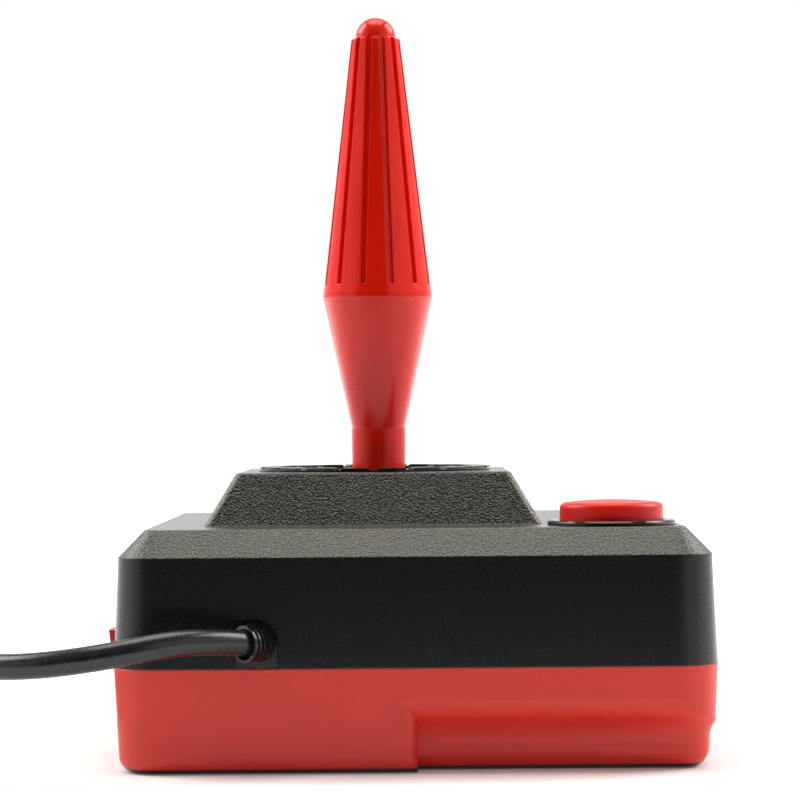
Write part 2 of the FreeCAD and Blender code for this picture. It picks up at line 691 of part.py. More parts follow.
def slide_slot():
    """The slot in the left wall, half in each shell, that the slide knob's stem runs in."""
    width = "stem_width + 2 * slide_travel + 2 * gap"
    height = "stem_height + 2 * gap"
    at = ("-body_width / 2 - wall", f"slide_y - ({width}) / 2", f"{SEAM} - ({height}) / 2")
    return box("slide_slot", "3 * wall", width, height, at)


def top_shell():
    """Black top: drafted wall, chamfered deck and turret, hollow, with pillars and bearing posts."""
    body = new_body("top_shell_body")
    seam = case_section(body, "seam_section", SEAM, "0")
    tapered_pad(body, "wall_pad", seam, "wall_height", "-wall_inset")
    shoulder = case_section(body, "shoulder_section", SHOULDER, "wall_inset")
    tapered_pad(body, "chamfer_pad", shoulder, "chamfer_height", "-chamfer_inset")
    rounded = turret(body)
    deck = level(value(DECK))
    half_width = value(f"body_width / 2 - {DECK_INSET}")
    half_depth = value(f"body_depth / 2 - {DECK_INSET}")

    def at_rim(bounds):
        across = max(-bounds.XMin, bounds.XMax) > half_width - TOUCH
        along = max(-bounds.YMin, bounds.YMax) > half_depth - TOUCH
        return deck(bounds) and (across or along)

    rounded_edges(body, "deck_round", rounded, at_rim, "deck_edge_radius")
    inner_deck_inset = f"{DECK_INSET} - roof * {CHAMFER_SLOPE} + slope_wall"
    sections = [
        case_section(body, "hollow_seam", SEAM, "wall"),
        case_section(body, "hollow_shoulder", SHOULDER, "wall_inset + wall"),
        case_section(body, "hollow_deck", f"{DECK} - roof", inner_deck_inset),
    ]
    loft(body, "Subtractive", "case_hollow", sections)
    inner_foot = f"turret_foot + 2 * roof * {TURRET_SLOPE} - 2 * slope_wall"
    inner_top = f"turret_top + 2 * roof * {TURRET_SLOPE} - 2 * slope_wall"
    sections = [
        turret_section(body, "hollow_turret_foot", f"{DECK} - roof", inner_foot),
        turret_section(body, "hollow_turret_top", f"{CROWN} - roof", inner_top),
    ]
    loft(body, "Subtractive", "turret_hollow", sections)
    top_shell_fittings(body)
    top_shell_openings(body)
    DOC.recompute()
    slot = slide_slot()
    subpart(cut("top_shell_cut", body, [slot]), "top_shell")


def turret(body):
    """Square turret with leaning sides on the deck, its corners and its top edge rounded."""
    half = "turret_foot / 2"
    corners = [
        (f"turret_x - {half}", f"-{half}"),
        (f"turret_x + {half}", f"-{half}"),
        (f"turret_x + {half}", half),
        (f"turret_x - {half}", half),
    ]
    foot = outline(body, "turret_foot_section", "XY_Plane", corners, DECK)
    block = tapered_pad(body, "turret_pad", foot, "turret_height", "-turret_lean")
    crown = value(CROWN)
    deck = value(DECK)
    rounded = rounded_edges(
        body, "turret_corner_round", block,
        lambda b: abs(b.ZMin - deck) < TOUCH and abs(b.ZMax - crown) < TOUCH, "turret_corner_radius",
    )
    return rounded_edges(body, "turret_round", rounded, level(crown), "turret_edge_radius")


def top_shell_fittings(body):
    """Pillars for the case screws, the collar under the button and the stick's bearing posts."""
    pillar_foot = "boss_height"
    for index, (x, y) in enumerate(SCREW_PLACES):
        height = f"{DECK} - roof / 2 - {pillar_foot}"
        add_cylinder(body, "Additive", f"pillar_{index}", "pillar_radius", height, (x, y, pillar_foot))
    add_cylinder(
        body, "Additive", "button_well", f"{BUTTON_HOLE} + well_wall", f"{DECK} - roof / 2 - {WELL_FOOT}",
        (BUTTON_X, BUTTON_Y, WELL_FOOT),
    )
    post_foot = f"({PIVOT} - post_drop)"
    for index, side in enumerate(SIDES):
        middle = f"stick_x + {side} * (post_start + post_thickness / 2)"
        at = (f"{middle} - post_thickness / 2", "-post_width / 2", post_foot)
        height = f"{CROWN} - roof / 2 - {post_foot}"
        add_box(body, "Additive", f"post_{index}", "post_thickness", "post_width", height, at)


def top_shell_openings(body):
    """Openings for the stick, the button, the lead and the screws, and the trunnion slots."""
    for index, (x, y) in enumerate(SCREW_PLACES):
        depth = "case_screw_length + screw_sink - boss_height + gap"
        at = (x, y, "boss_height")
        add_cylinder(body, "Subtractive", f"pillar_bore_{index}", "case_screw_radius + fit", depth, at)
    add_cylinder(
        body, "Subtractive", "stick_opening", "opening_radius", "3 * roof",
        ("stick_x", "0", f"{CROWN} - 2 * roof"),
    )
    add_cylinder(
        body, "Subtractive", "button_opening", BUTTON_HOLE, "4 * roof + well_depth",
        (BUTTON_X, BUTTON_Y, f"{WELL_FOOT} - roof"),
    )
    notch_y = "-body_depth / 2 - wall"
    add_box(
        body, "Subtractive", "lead_notch", "2 * relief_radius", "3 * wall", "relief_rise",
        ("relief_x - relief_radius", notch_y, SEAM),
    )
    add_cylinder(
        body, "Subtractive", "lead_arch", "relief_radius", "3 * wall",
        ("relief_x", notch_y, LEAD_AXIS), ALONG_Y,
    )
    reach = "post_start + 2 * post_thickness"
    add_cylinder(
        body, "Subtractive", "trunnion_seat", "trunnion_radius + running_fit", f"2 * ({reach})",
        (f"stick_x - ({reach})", "0", PIVOT), ALONG_X,
    )
    slot_width = "2 * (trunnion_radius + running_fit)"
    add_box(
        body, "Subtractive", "trunnion_slot", f"2 * ({reach})", slot_width, "2 * post_drop",
        (f"stick_x - ({reach})", f"-({slot_width}) / 2", f"{PIVOT} - 2 * post_drop"),
    )
    for index, side in enumerate(SIDES):
        for number, way in enumerate(SIDES):
            at = (
                f"stick_x + {side} * (post_start + post_thickness / 2)",
                f"{way} * cap_screw_spacing / 2",
                f"{PIVOT} - post_drop",
            )
            depth = "cap_screw_length - cap_height"
            name = f"post_bore_{index}_{number}"
            add_cylinder(body, "Subtractive", name, "cap_screw_radius + fit", depth, at)


def collar_ring():
    """Flat ring on the turret top with evenly spaced notches across it."""
    body = new_body("collar_ring_body")
    inside = "collar_radius - collar_width"
    corners = [
        (inside, "0"),
        ("collar_radius", "0"),
        ("collar_radius", "collar_height"),
        (inside, "collar_height"),
    ]
    revolved(body, "collar_flat", corners)
    notch = add_box(
        body, "Subtractive", "collar_notch", "3 * collar_width", "notch_width", "collar_height",
        (f"{inside} - collar_width", "-notch_width / 2", "collar_height - notch_depth"),
    )
    turned_pattern(body, "collar_notch_row", notch, "collar_notches")
    subpart(bind(body, {}, ("turret_x", "0", CROWN)), "collar_ring")


def stick():
    """One-piece stick: shaft, neck, plain cone, ribbed grip with grooves and a round tip."""
    body = new_body("stick_body")
    cone_foot = f"{CROWN} + neck_height"
    band_foot = f"{cone_foot} + flare_height"
    rib_foot = f"{band_foot} + grip_band"
    rib_top = f"{rib_foot} + rib_length"
    corners = [
        ("0", SHAFT_FOOT),
        ("shaft_radius", SHAFT_FOOT),
        ("shaft_radius", NECK_FOOT),
        ("neck_radius", NECK_FOOT),
        ("neck_radius", cone_foot),
        ("grip_radius", band_foot),
        ("grip_radius", f"{band_foot} + grip_band / 2"),
        ("rib_radius", rib_foot),
        ("rib_tip_radius", rib_top),
        ("tip_radius", f"{rib_top} + (rib_tip_radius - tip_radius) / 2"),
        ("tip_radius", f"{rib_top} + tip_height"),
        ("0", f"{rib_top} + tip_height"),
    ]
    turned = revolved(body, "stick_turned", corners)
    tip = value(f"{rib_top} + tip_height")
    rounded_edges(body, "tip_round", turned, level(tip), "0.97 * tip_radius")
    floor_foot = "rib_radius - groove_depth"
    floor_top = "rib_tip_radius - groove_depth"
    groove_top = f"{rib_top} + groove_depth"
    corners = [
        (floor_foot, f"{rib_foot} + groove_land"),
        ("2 * grip_radius", f"{rib_foot} + groove_land"),
        ("2 * grip_radius", groove_top),
        (floor_top, groove_top),
    ]
    sketch = outline(body, "groove_section", "XZ_Plane", corners)
    sketch.AttachmentOffset = Placement(Vector(), Rotation(Vector(0, 1, 0), value("groove_turn")))
    sketch.setExpression("AttachmentOffset.Rotation.Angle", linked("groove_turn"))
    groove = body.newObject("PartDesign::Pocket", "groove")
    groove.Profile = sketch
    groove.Midplane = True
    groove.setExpression("Length", linked("groove_width"))
    turned_pattern(body, "groove_row", groove, "groove_count")
    add_cylinder(
        body, "Subtractive", "cross_bore", "cross_pin_radius + fit", "4 * shaft_radius",
        ("0", "-2 * shaft_radius", PIVOT), ALONG_Y,
    )
    add_cylinder(
        body, "Subtractive", "foot_bore", "foot_screw_radius + fit", "foot_screw_length",
        ("0", "0", SHAFT_FOOT),
    )
    subpart(bind(body, {}, ("stick_x", "0", "0")), "stick")


def dust_dome():
    """Domed washer on the shaft, round about the tilt axes, that closes the opening."""
    at = ("stick_x", "0", PIVOT)
    outer = bind(DOC.addObject("Part::Sphere", "dome_outer"), {"Radius": "dome_radius"}, at)
    inner = bind(DOC.addObject("Part::Sphere", "dome_inner"), {"Radius": "dome_radius - dome_wall"}, at)
    skirt_foot = f"({CROWN} - dome_skirt)"
    hub_foot = f"({NECK_FOOT} - hub_wall)"
    slab = cylinder(
        "dome_slab", "2 * dome_radius", f"{NECK_FOOT} - {skirt_foot}", ("stick_x", "0", skirt_foot),
    )
    cap = DOC.addObject("Part::MultiCommon", "dome_cap")
    cap.Shapes = [outer, slab]
    shell = cut("dome_shell", cap, [inner])
    hub = cylinder(
        "dome_hub", "shaft_radius + hub_wall", f"{NECK_FOOT} - {hub_foot}", ("stick_x", "0", hub_foot),
    )
    hub_trim = DOC.addObject("Part::MultiCommon", "dome_hub_trim")
    hub_trim.Shapes = [hub, bind(DOC.addObject("Part::Sphere", "dome_ball"), {"Radius": "dome_radius"}, at)]
    bore = cylinder("dome_bore", "shaft_radius + fit", "dome_radius", ("stick_x", "0", PIVOT))
    subpart(cut("dust_dome_cut", fused("dome_with_hub", [shell, hub_trim]), [bore]), "dust_dome")


def gimbal_ring():
    """Ring round the shaft with two trunnions along X and a cross bore along Y."""
    foot = f"{PIVOT} - ring_height / 2"
    band = cylinder("ring_band", "ring_radius", "ring_height", ("stick_x", "0", foot))
    reach = "(post_start + post_thickness - gap)"
    axle = cylinder(
        "ring_axle", "trunnion_radius", f"2 * {reach}", (f"stick_x - {reach}", "0", PIVOT), ALONG_X,
    )
    bore = cylinder(
        "ring_hole", "ring_bore", "2 * ring_height", ("stick_x", "0", f"{foot} - ring_height / 2"),
    )
    cross = cylinder(
        "ring_cross", "cross_pin_radius + running_fit", "4 * ring_radius",
        ("stick_x", "-2 * ring_radius", PIVOT), ALONG_Y,
    )
    subpart(cut("gimbal_ring_cut", fused("ring_with_axle", [band, axle]), [bore, cross]), "gimbal_ring")


def cross_pin():
    """Pin through the shaft that turns in the gimbal ring."""
    at = ("stick_x", "-ring_radius", PIVOT)
    subpart(cylinder("cross_pin_rod", "cross_pin_radius", "2 * ring_radius", at, ALONG_Y), "cross_pin")


def bearing_caps():
    """Caps that close the trunnion slots from below, with their screws."""
    seat = f"({PIVOT} - post_drop)"
    caps = []
    screws = []
    for index, side in enumerate(SIDES):
        middle = f"stick_x + {side} * (post_start + post_thickness / 2)"
        corner = f"{middle} - post_thickness / 2"
        plate = box(
            f"cap_plate_{index}", "post_thickness", "post_width", "cap_height",
            (corner, "-post_width / 2", f"{seat} - cap_height"),
        )
        tongue_height = "post_drop - trunnion_radius - 2 * running_fit"
        tongue = box(
            f"cap_tongue_{index}", "post_thickness", "2 * trunnion_radius",
            f"{tongue_height} + cap_height / 2", (corner, "-trunnion_radius", f"{seat} - cap_height / 2"),
        )
        bores = []
        for number, way in enumerate(SIDES):
            place = (middle, f"{way} * cap_screw_spacing / 2", f"{seat} - cap_height")
            name = f"cap_bore_{index}_{number}"
            bores.append(cylinder(name, "cap_screw_radius + fit", "2 * cap_height", place))
            screws.append(screw(
                f"cap_screw_{index}_{number}", place, "cap_screw_radius", "cap_screw_length",
                "cap_screw_head", "cap_screw_radius", True,
            ))
        caps.append(cut(f"cap_{index}", fused(f"cap_block_{index}", [plate, tongue]), bores))
    subpart(grouped("cap_pair", caps), "bearing_caps")
    subpart(grouped("cap_screw_set", screws), "bearing_screws")


def actuator_plate():
    """Plate on the shaft's foot that reaches over the direction switches, with its screw."""
    body = new_body("actuator_body")
    hub = "shaft_radius + hub_wall"
    bore = "shaft_radius + fit"
    hole = "foot_screw_radius + gap"
    sink = "foot_screw_head + gap"
    sink_top = f"{PLATE_FOOT} + foot_screw_head_height"
    corners = [
        (sink, PLATE_FOOT),
        ("plate_radius", PLATE_FOOT),
        ("plate_radius", SHAFT_FOOT),
        (hub, SHAFT_FOOT),
        (hub, f"{SHAFT_FOOT} + hub_height"),
        (bore, f"{SHAFT_FOOT} + hub_height"),
        (bore, SHAFT_FOOT),
        (hole, SHAFT_FOOT),
        (hole, sink_top),
        (sink, sink_top),
    ]
    revolved(body, "actuator_turned", corners)
    subpart(bind(body, {}, ("stick_x", "0", "0")), "actuator_plate")
    length = "foot_screw_length + plate_thickness - foot_screw_head_height - gap"
    foot_screw = screw(
        "foot_screw", ("stick_x", "0", sink_top), "foot_screw_radius", length,
        "foot_screw_head", "foot_screw_head_height", True,
    )
    subpart(foot_screw, "actuator_screw")


def fire_button():
    """Button cap with a flange under the deck and a stem down to its switch."""
    body = new_body("fire_button_body")
    inside = "button_radius - button_wall"
    rim = "(button_radius - button_round)"
    flange = "button_radius + flange_width"
    flange_foot = f"({FLANGE_TOP} - flange_height)"
    stem_foot = f"{PLUNGER_TOP} + button_travel + gap"
    corners = [
        ("0", stem_foot),
        ("button_stem_radius", stem_foot),
        ("button_stem_radius", CAP_UNDERSIDE),
        (inside, CAP_UNDERSIDE),
        (inside, flange_foot),
        (flange, flange_foot),
        (flange, FLANGE_TOP),
        ("button_radius", FLANGE_TOP),
        ("button_radius", f"{BUTTON_TOP} - button_round", "button_round"),
        (rim, BUTTON_TOP, f"({rim} ^ 2 + button_dome ^ 2) / (2 * button_dome)"),
        ("0", f"{BUTTON_TOP} + button_dome"),
    ]
    revolved(body, "button_turned", corners)
    subpart(bind(body, {}, (BUTTON_X, BUTTON_Y, "0")), "fire_button")


def button_bezel():
    """Flat ring on the deck round the button."""
    body = new_body("button_bezel_body")
    outside = f"{BUTTON_HOLE} + bezel_width"
    corners = [
        (BUTTON_HOLE, "0"),
        (outside, "0"),
        (outside, "bezel_height - bezel_round"),
        (f"{outside} - bezel_round", "bezel_height"),
        (BUTTON_HOLE, "bezel_height"),
    ]
    revolved(body, "bezel_turned", corners)
    subpart(bind(body, {}, (BUTTON_X, BUTTON_Y, DECK)), "button_bezel")


def fire_spring():
    """Coil spring between the board and the button's underside."""
    radius = value("spring_radius")
    wire = value("spring_wire")
    foot = value(f"{BOARD_TOP} + spring_wire")
    height = value(f"{CAP_UNDERSIDE} - gap - spring_wire") - foot
    helix = Part.makeHelix(height / value("spring_turns"), height, radius)
    section = Part.Wire(Part.makeCircle(wire, Vector(radius, 0, 0), Vector(0, 1, 0)))
    coil = DOC.addObject("Part::Feature", "fire_spring_coil")
    coil.Shape = Part.Wire(helix.Edges).makePipeShell([section], True, True)
    bind(coil, {}, (BUTTON_X, BUTTON_Y, f"{BOARD_TOP} + spring_wire"))
    subpart(coil, "fire_spring")


def push_switch(name, x, y):
    """Push switch on the board: square body and round plunger."""
    corner = (f"{x} - tact_side / 2", f"{y} - tact_side / 2", BOARD_TOP)
    case = box(f"{name}_case", "tact_side", "tact_side", "tact_height", corner)
    plunger = cylinder(
        f"{name}_plunger", "plunger_radius", "plunger_height + tact_height / 2",
        (x, y, f"{BOARD_TOP} + tact_height / 2"),
    )
    return fused(name, [case, plunger])


def switches():
    """Four direction switches under the actuator plate, one fire switch and the slide switch."""
    direction = [
        push_switch(f"direction_{index}", f"(stick_x + {x} * tact_spread)", f"({y} * tact_spread)")
        for index, (x, y) in enumerate(DIRECTIONS)
    ]
    subpart(grouped("direction_set", direction), "direction_switches")
    subpart(push_switch("fire_push", BUTTON_X, BUTTON_Y), "fire_switch")

    left = "(-body_width / 2 + wall + slide_body_gap)"
    foot = f"{SEAM} + slide_body_rise - {BOARD_TOP}"
    case = box(
        "slide_case", "slide_body_depth", "slide_body_width", foot,
        (left, "slide_y - slide_body_width / 2", BOARD_TOP),
    )
    width = "stem_width + 2 * slide_travel + 2 * gap"
    height = "stem_height + 2 * gap"
    slot = box(
        "slide_case_slot", "slide_body_depth - slide_body_back", width, height,
        (left, f"slide_y - ({width}) / 2", f"{SEAM} - ({height}) / 2"),
    )
    subpart(cut("slide_case_cut", case, [slot]), "slide_switch_body")


def switch_knob():
    """Slide knob: thumb piece outside the left wall, its outer face leaning, and a stem inside."""
    body = new_body("switch_knob_body")
    inner = "-(body_width / 2 + gap)"
    low = f"{SEAM} + knob_rise - knob_height / 2"
    high = f"{SEAM} + knob_rise + knob_height / 2"
    corners = [
        (inner, low),
        (inner, high),
        ("-(body_width / 2 + knob_reach + knob_lean)", high),
        ("-(body_width / 2 + knob_reach)", low),
    ]
    sketch = outline(body, "knob_section", "XZ_Plane", corners)
    knob = body.newObject("PartDesign::Pad", "knob")
    knob.Profile = sketch
    knob.Midplane = True
    knob.setExpression("Length", linked("knob_width"))
    reach = "wall + slide_body_gap + slide_body_depth - slide_body_back"
    add_box(
        body, "Additive", "knob_stem", reach, "stem_width", "stem_height",
        (inner, "-stem_width / 2", f"{SEAM} - stem_height / 2"),
    )
    subpart(bind(body, {}, ("0", "slide_y", "0")), "switch_knob")


def circuit_board():
    """Board on the standoffs, cut away round two pillars, with its screws."""
    plate = box(
        "board_plate", f"{BOARD_RIGHT} - {BOARD_LEFT}", f"{BOARD_FAR} - {BOARD_NEAR}", "board_thickness",
        (BOARD_LEFT, BOARD_NEAR, "board_height"),
    )
    holes = []
    for index, (x, y) in enumerate(SCREW_PLACES):
        at = (x, y, "board_height - board_thickness")
        holes.append(cylinder(f"board_notch_{index}", "boss_radius + gap", "3 * board_thickness", at))
    screws = []
    for index, (x, y) in enumerate(STANDOFF_PLACES):
        at = (x, y, "board_height - board_thickness")
        holes.append(cylinder(f"board_hole_{index}", "board_screw_radius + fit", "3 * board_thickness", at))
        screws.append(screw(
            f"board_screw_{index}", (x, y, BOARD_TOP), "board_screw_radius", "board_screw_length",
            "board_screw_head", "board_screw_head_height", False,
        ))
    subpart(cut("board_cut", plate, holes), "circuit_board")
    subpart(grouped("board_screw_set", screws), "board_screws")


def case_screws():
    """Screws up through the bottom's bosses into the pillars."""
    screws = [
        screw(
            f"case_screw_{index}", (x, y, "screw_sink"), "case_screw_radius", "case_screw_length",
            "case_screw_head", "case_screw_head_height", True,
        )
        for index, (x, y) in enumerate(SCREW_PLACES)
    ]
    subpart(grouped("case_screw_set", screws), "case_screws")


def sleeve_mouth():
    """The middle of the sleeve's mouth and the direction that the lead leaves it in."""
    turn = math.radians(value("sleeve_angle"))
    bend = value("sleeve_bend")
    way = Vector(-math.sin(turn), -math.cos(turn), 0)
    start = Vector(value("relief_x"), -value("body_depth") / 2, value(LEAD_AXIS))
    return start + Vector(-bend * (1 - math.cos(turn)), -bend * math.sin(turn), 0), way


def strain_relief():
    """Rubber relief: arch in the wall, flange inside and a ringed sleeve bent to the left."""
    clear = "(relief_radius - running_fit)"
    wide = "(relief_radius + relief_flange)"
    face = "-body_depth / 2"
    block = []
    stages = [("neck", clear, face, RELIEF_BACK), ("flange", wide, RELIEF_BACK, LEAD_START)]
    for name, radius, start, end in stages:
        depth = f"{end} - ({start})"
        corner = (f"relief_x - {radius}", start, f"{SEAM} + running_fit")
        block.append(cylinder(f"relief_{name}_round", radius, depth, ("relief_x", start, LEAD_AXIS), ALONG_Y))
        block.append(box(f"relief_{name}_foot", f"2 * {radius}", depth, "relief_rise - running_fit", corner))
    count = 2 * int(value("sleeve_rings")) - 1
    for index in range(count):
        thinner = f"sleeve_radius - sleeve_taper * {index} / {count}"
        radius = thinner if index % 2 == 0 else f"{thinner} - ring_depth"
        ring = DOC.addObject("Part::Torus", f"sleeve_ring_{index}")
        ring.Angle1 = -180
        ring.Angle2 = 180
        bind(
            ring, {"Radius1": "sleeve_bend", "Radius2": radius, "Angle3": f"sleeve_angle / {count}"},
            ("relief_x - sleeve_bend", face, LEAD_AXIS),
        )
        start = -value("sleeve_angle") * (index + 1) / count
        ring.Placement = Placement(ring.Placement.Base, Rotation(Vector(0, 0, 1), start))
        block.append(ring)
    mouth, way = sleeve_mouth()
    bore = DOC.addObject("Part::Cylinder", "sleeve_bore")
    bore.setExpression("Radius", linked("mouth_radius"))
    bore.setExpression("Height", linked("2 * mouth_depth"))
    bore.Placement = Placement(mouth - way * value("mouth_depth"), Rotation(Vector(0, 0, 1), way))
    subpart(cut("relief_cut", fused("relief_block", block), [bore]), "strain_relief")


def inner_lead():
    """The lead's end inside the case, its wires and the header on the board."""
    tail = cylinder("tail_rod", "cable_radius", "tail_length", ("relief_x", LEAD_START, LEAD_AXIS), ALONG_Y)
    subpart(tail, "lead_tail")
    corner = ("relief_x - header_width / 2", f"{HEADER_Y} - header_depth / 2", BOARD_TOP)
    subpart(box("header_block", "header_width", "header_depth", "header_height", corner), "lead_header")
    wires = []
    radius = value("wire_radius")
    for step in WIRES:
        foot_at = (f"relief_x + {step} * wire_pitch", HEADER_Y, f"{BOARD_TOP} + header_height")
        top_at = (f"relief_x + {step} * wire_crowd", LEAD_END, LEAD_AXIS)
        foot = Vector(*[value(part) for part in foot_at])
        top = Vector(*[value(part) for part in top_at])
        way = top - foot
        wire = DOC.addObject("Part::Feature", f"wire_{step + len(WIRES)}")
        wire.Shape = Part.makeCylinder(radius, way.Length, Vector(), way)
        wire.Placement = Placement(foot, Rotation())
        wires.append(wire)
    subpart(grouped("wire_set", wires), "lead_wires")


def cord_tube(name, route):
    """A tube along straight runs joined by tangent arcs, each as large as its runs allow."""
    way_out = Vector(value("relief_x"), -value("body_depth") / 2, 0)
    points = [way_out + Vector(*point) for point in route]
    radius = value("cable_radius")
    edges = []
    radii = []
    last = points[0]
    for before, corner, after in zip(points, points[1:], points[2:]):
        back = before - corner
        ahead = after - corner
        reach = 0.45 * min(back.Length, ahead.Length)
        turn = math.pi - back.getAngle(ahead)
        radii.append(reach / math.tan(turn / 2))
        start = corner + back.normalize() * reach
        end = corner + ahead.normalize() * reach
        bisector = (back + ahead).normalize()
        to_centre = math.hypot(reach, radii[-1])
        middle = corner + bisector * (to_centre - radii[-1])
        edges.append(Part.LineSegment(last, start).toShape())
        edges.append(Part.Arc(start, middle, end).toShape())
        last = end
    edges.append(Part.LineSegment(last, points[-1]).toShape())
    path = Part.Wire(edges)
    section = Part.Wire(Part.makeCircle(radius, points[0], points[1] - points[0]))
    tube = DOC.addObject("Part::Feature", name)
    tube.Shape = path.makePipeShell([section], True, False)
    expected = math.pi * radius ** 2 * path.Length
    print(f"{name}: length {path.Length:.1f} mm, radii {[round(bend, 1) for bend in radii]}")
    if abs(tube.Shape.Volume / expected - 1) > 0.01:
        raise RuntimeError(f"{name}'s volume isn't its section times its length")
    return tube


def coil_corners(grow):
    """Half section of the wound coil, four turns below and three above, grown by a thickness."""
    inner = f"(coil_turn_radius - {COIL_TURNS} * cable_radius - {grow})"
    outer = f"(coil_turn_radius + {COIL_TURNS} * cable_radius + {grow})"
    top = f"((2 + sqrt(3)) * cable_radius + {grow})"
    low = "(2 * cable_radius)"
    slope = "cable_radius"
    return [
        (inner, "0"),
        (outer, "0"),
        (outer, low),
        (f"{outer} - {slope}", top),
        (f"{inner} + {slope}", top),
        (inner, low),
    ]


def lead_and_coil():
    """The free lead, the coil of its unseen length with a tie, and the end that goes to the plug."""
    floor = value("cable_radius")
    rise = value(LEAD_AXIS) - floor
    route = [(x, y, floor + share * rise) for x, y, share in LEAD_ROUTE]
    subpart(cord_tube("lead_tube", route), "cable_lead")
    subpart(cord_tube("tail_tube", TAIL_ROUTE), "cable_tail")
    coil = new_body("coil_body")
    revolved(coil, "coil_turned", coil_corners("0"))
    place = ("relief_x + coil_x", "coil_y - body_depth / 2", "0")
    subpart(bind(coil, {}, place), "cable_coil")
    band = new_body("tie_band")
    feature = revolved(band, "tie_turned", coil_corners("tie_thickness"))
    feature.Midplane = True
    feature.setExpression("Angle", linked("tie_width / coil_turn_radius * 180 / pi"))
    hole = new_body("tie_hole")
    revolved(hole, "tie_hole_turned", coil_corners("0"))
    turn = Rotation(Vector(0, 0, 1), value("tie_angle"))
    bind(band, {}, place, turn)
    bind(hole, {}, place)
    subpart(cut("tie_cut", band, [hole]), "coil_tie")


def d_feature(body, way, name, offset, length, shrink):
    """A D-shaped pad or pocket along the plug's axis, wide side up, smaller by a thickness."""
    half_width = f"(shell_width / 2 - ({shrink}))"
    half_height = f"(shell_height / 2 - ({shrink}))"
    corners = [
        (f"-{half_width}", half_height),
        (f"shell_slant - {half_width}", f"-{half_height}"),
        (f"{half_width} - shell_slant", f"-{half_height}"),
        (half_width, half_height),
    ]
    sketch = outline(body, f"{name}_section", "YZ_Plane", corners, offset)
    feature = body.newObject(f"PartDesign::{way}", name)
    feature.Profile = sketch
    feature.setExpression("Length", linked(length))
    return feature


def plug():
    """Nine-way plug: moulded hood, metal D shell with its face, and the socket block."""
    place = ("relief_x", "plug_y - body_depth / 2", "plug_height / 2")
    face = "(plug_x + plug_neck + plug_shoulder + plug_grip)"
    shell_end = f"({face} + face_thickness + shell_length)"
    hood = new_body("plug_hood_body")
    stations = [
        ("plug_x", "plug_mouth", "plug_mouth", "0.45 * plug_mouth"),
        ("plug_x + plug_neck", "plug_root", "plug_root", "plug_round / 2"),
        ("plug_x + plug_neck + plug_shoulder", "plug_width", "plug_height", "plug_round"),
        (face, "plug_width", "plug_height", "plug_round"),
    ]
    sections = [
        rounded_rectangle(hood, f"hood_section_{index}", "YZ_Plane", *station)
        for index, station in enumerate(stations)
    ]
    loft(hood, "Additive", "hood_loft", sections)
    subpart(bind(hood, {}, place), "plug_hood")

    shell = new_body("plug_shell_body")
    width = "plug_width - 2 * plug_margin"
    height = "plug_height - 2 * plug_margin"
    plate = shell.newObject("PartDesign::Pad", "face_plate")
    plate.Profile = rounded_rectangle(
        shell, "face_section", "YZ_Plane", face, width, height, "plug_round - plug_margin",
    )
    plate.setExpression("Length", linked("face_thickness"))
    d_feature(shell, "Pad", "shell_tube", f"{face} + face_thickness", "shell_length", "0")
    bore = d_feature(shell, "Pocket", "shell_bore", shell_end, "shell_length", "shell_wall")
    DOC.recompute()
    if bore.Shape.Volume >= bore.BaseFeature.Shape.Volume:
        raise RuntimeError("the plug's shell isn't hollow")
    subpart(bind(shell, {}, place), "plug_shell")

    block = new_body("plug_insert_body")
    length = "shell_length - gap"
    d_feature(block, "Pad", "socket_block", f"{face} + face_thickness", length, "shell_wall + running_fit")
    for row, count in ((1, 5), (-1, 4)):
        for index in range(count):
            at = (
                f"{shell_end} - gap - socket_depth",
                f"{index - (count - 1) / 2} * socket_pitch",
                f"{row} * socket_rows / 2",
            )
            name = f"socket_{count}_{index}"
            add_cylinder(block, "Subtractive", name, "socket_radius", "2 * socket_depth", at, ALONG_X)
    subpart(bind(block, {}, place), "plug_insert")


def build():
    fill_sheet()
    bottom_shell()
    top_shell()
    collar_ring()
    stick()
    dust_dome()
    gimbal_ring()
    cross_pin()
    bearing_caps()
    actuator_plate()
    fire_button()
    button_bezel()
    fire_spring()
    switches()
    switch_knob()
    circuit_board()
    case_screws()
    strain_relief()
    inner_lead()
    lead_and_coil()
    plug()
    DOC.recompute()


def check_all():
    failed = [item.Name for item in DOC.Objects if {"Invalid", "Error"} & set(item.State)]
    for item in SUBPARTS:
        if item.Shape.isNull() or not item.Shape.isValid() or not item.Shape.Solids:
            failed.append(item.Label)
    if failed:
        raise RuntimeError(f"these did not build: {failed}")


def write_all():
    os.makedirs("parts", exist_ok=True)
    for item in SUBPARTS:
        item.Shape.exportStep(os.path.join("parts", f"{item.Label}.step"))


build()
check_all()
write_all()
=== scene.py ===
import math

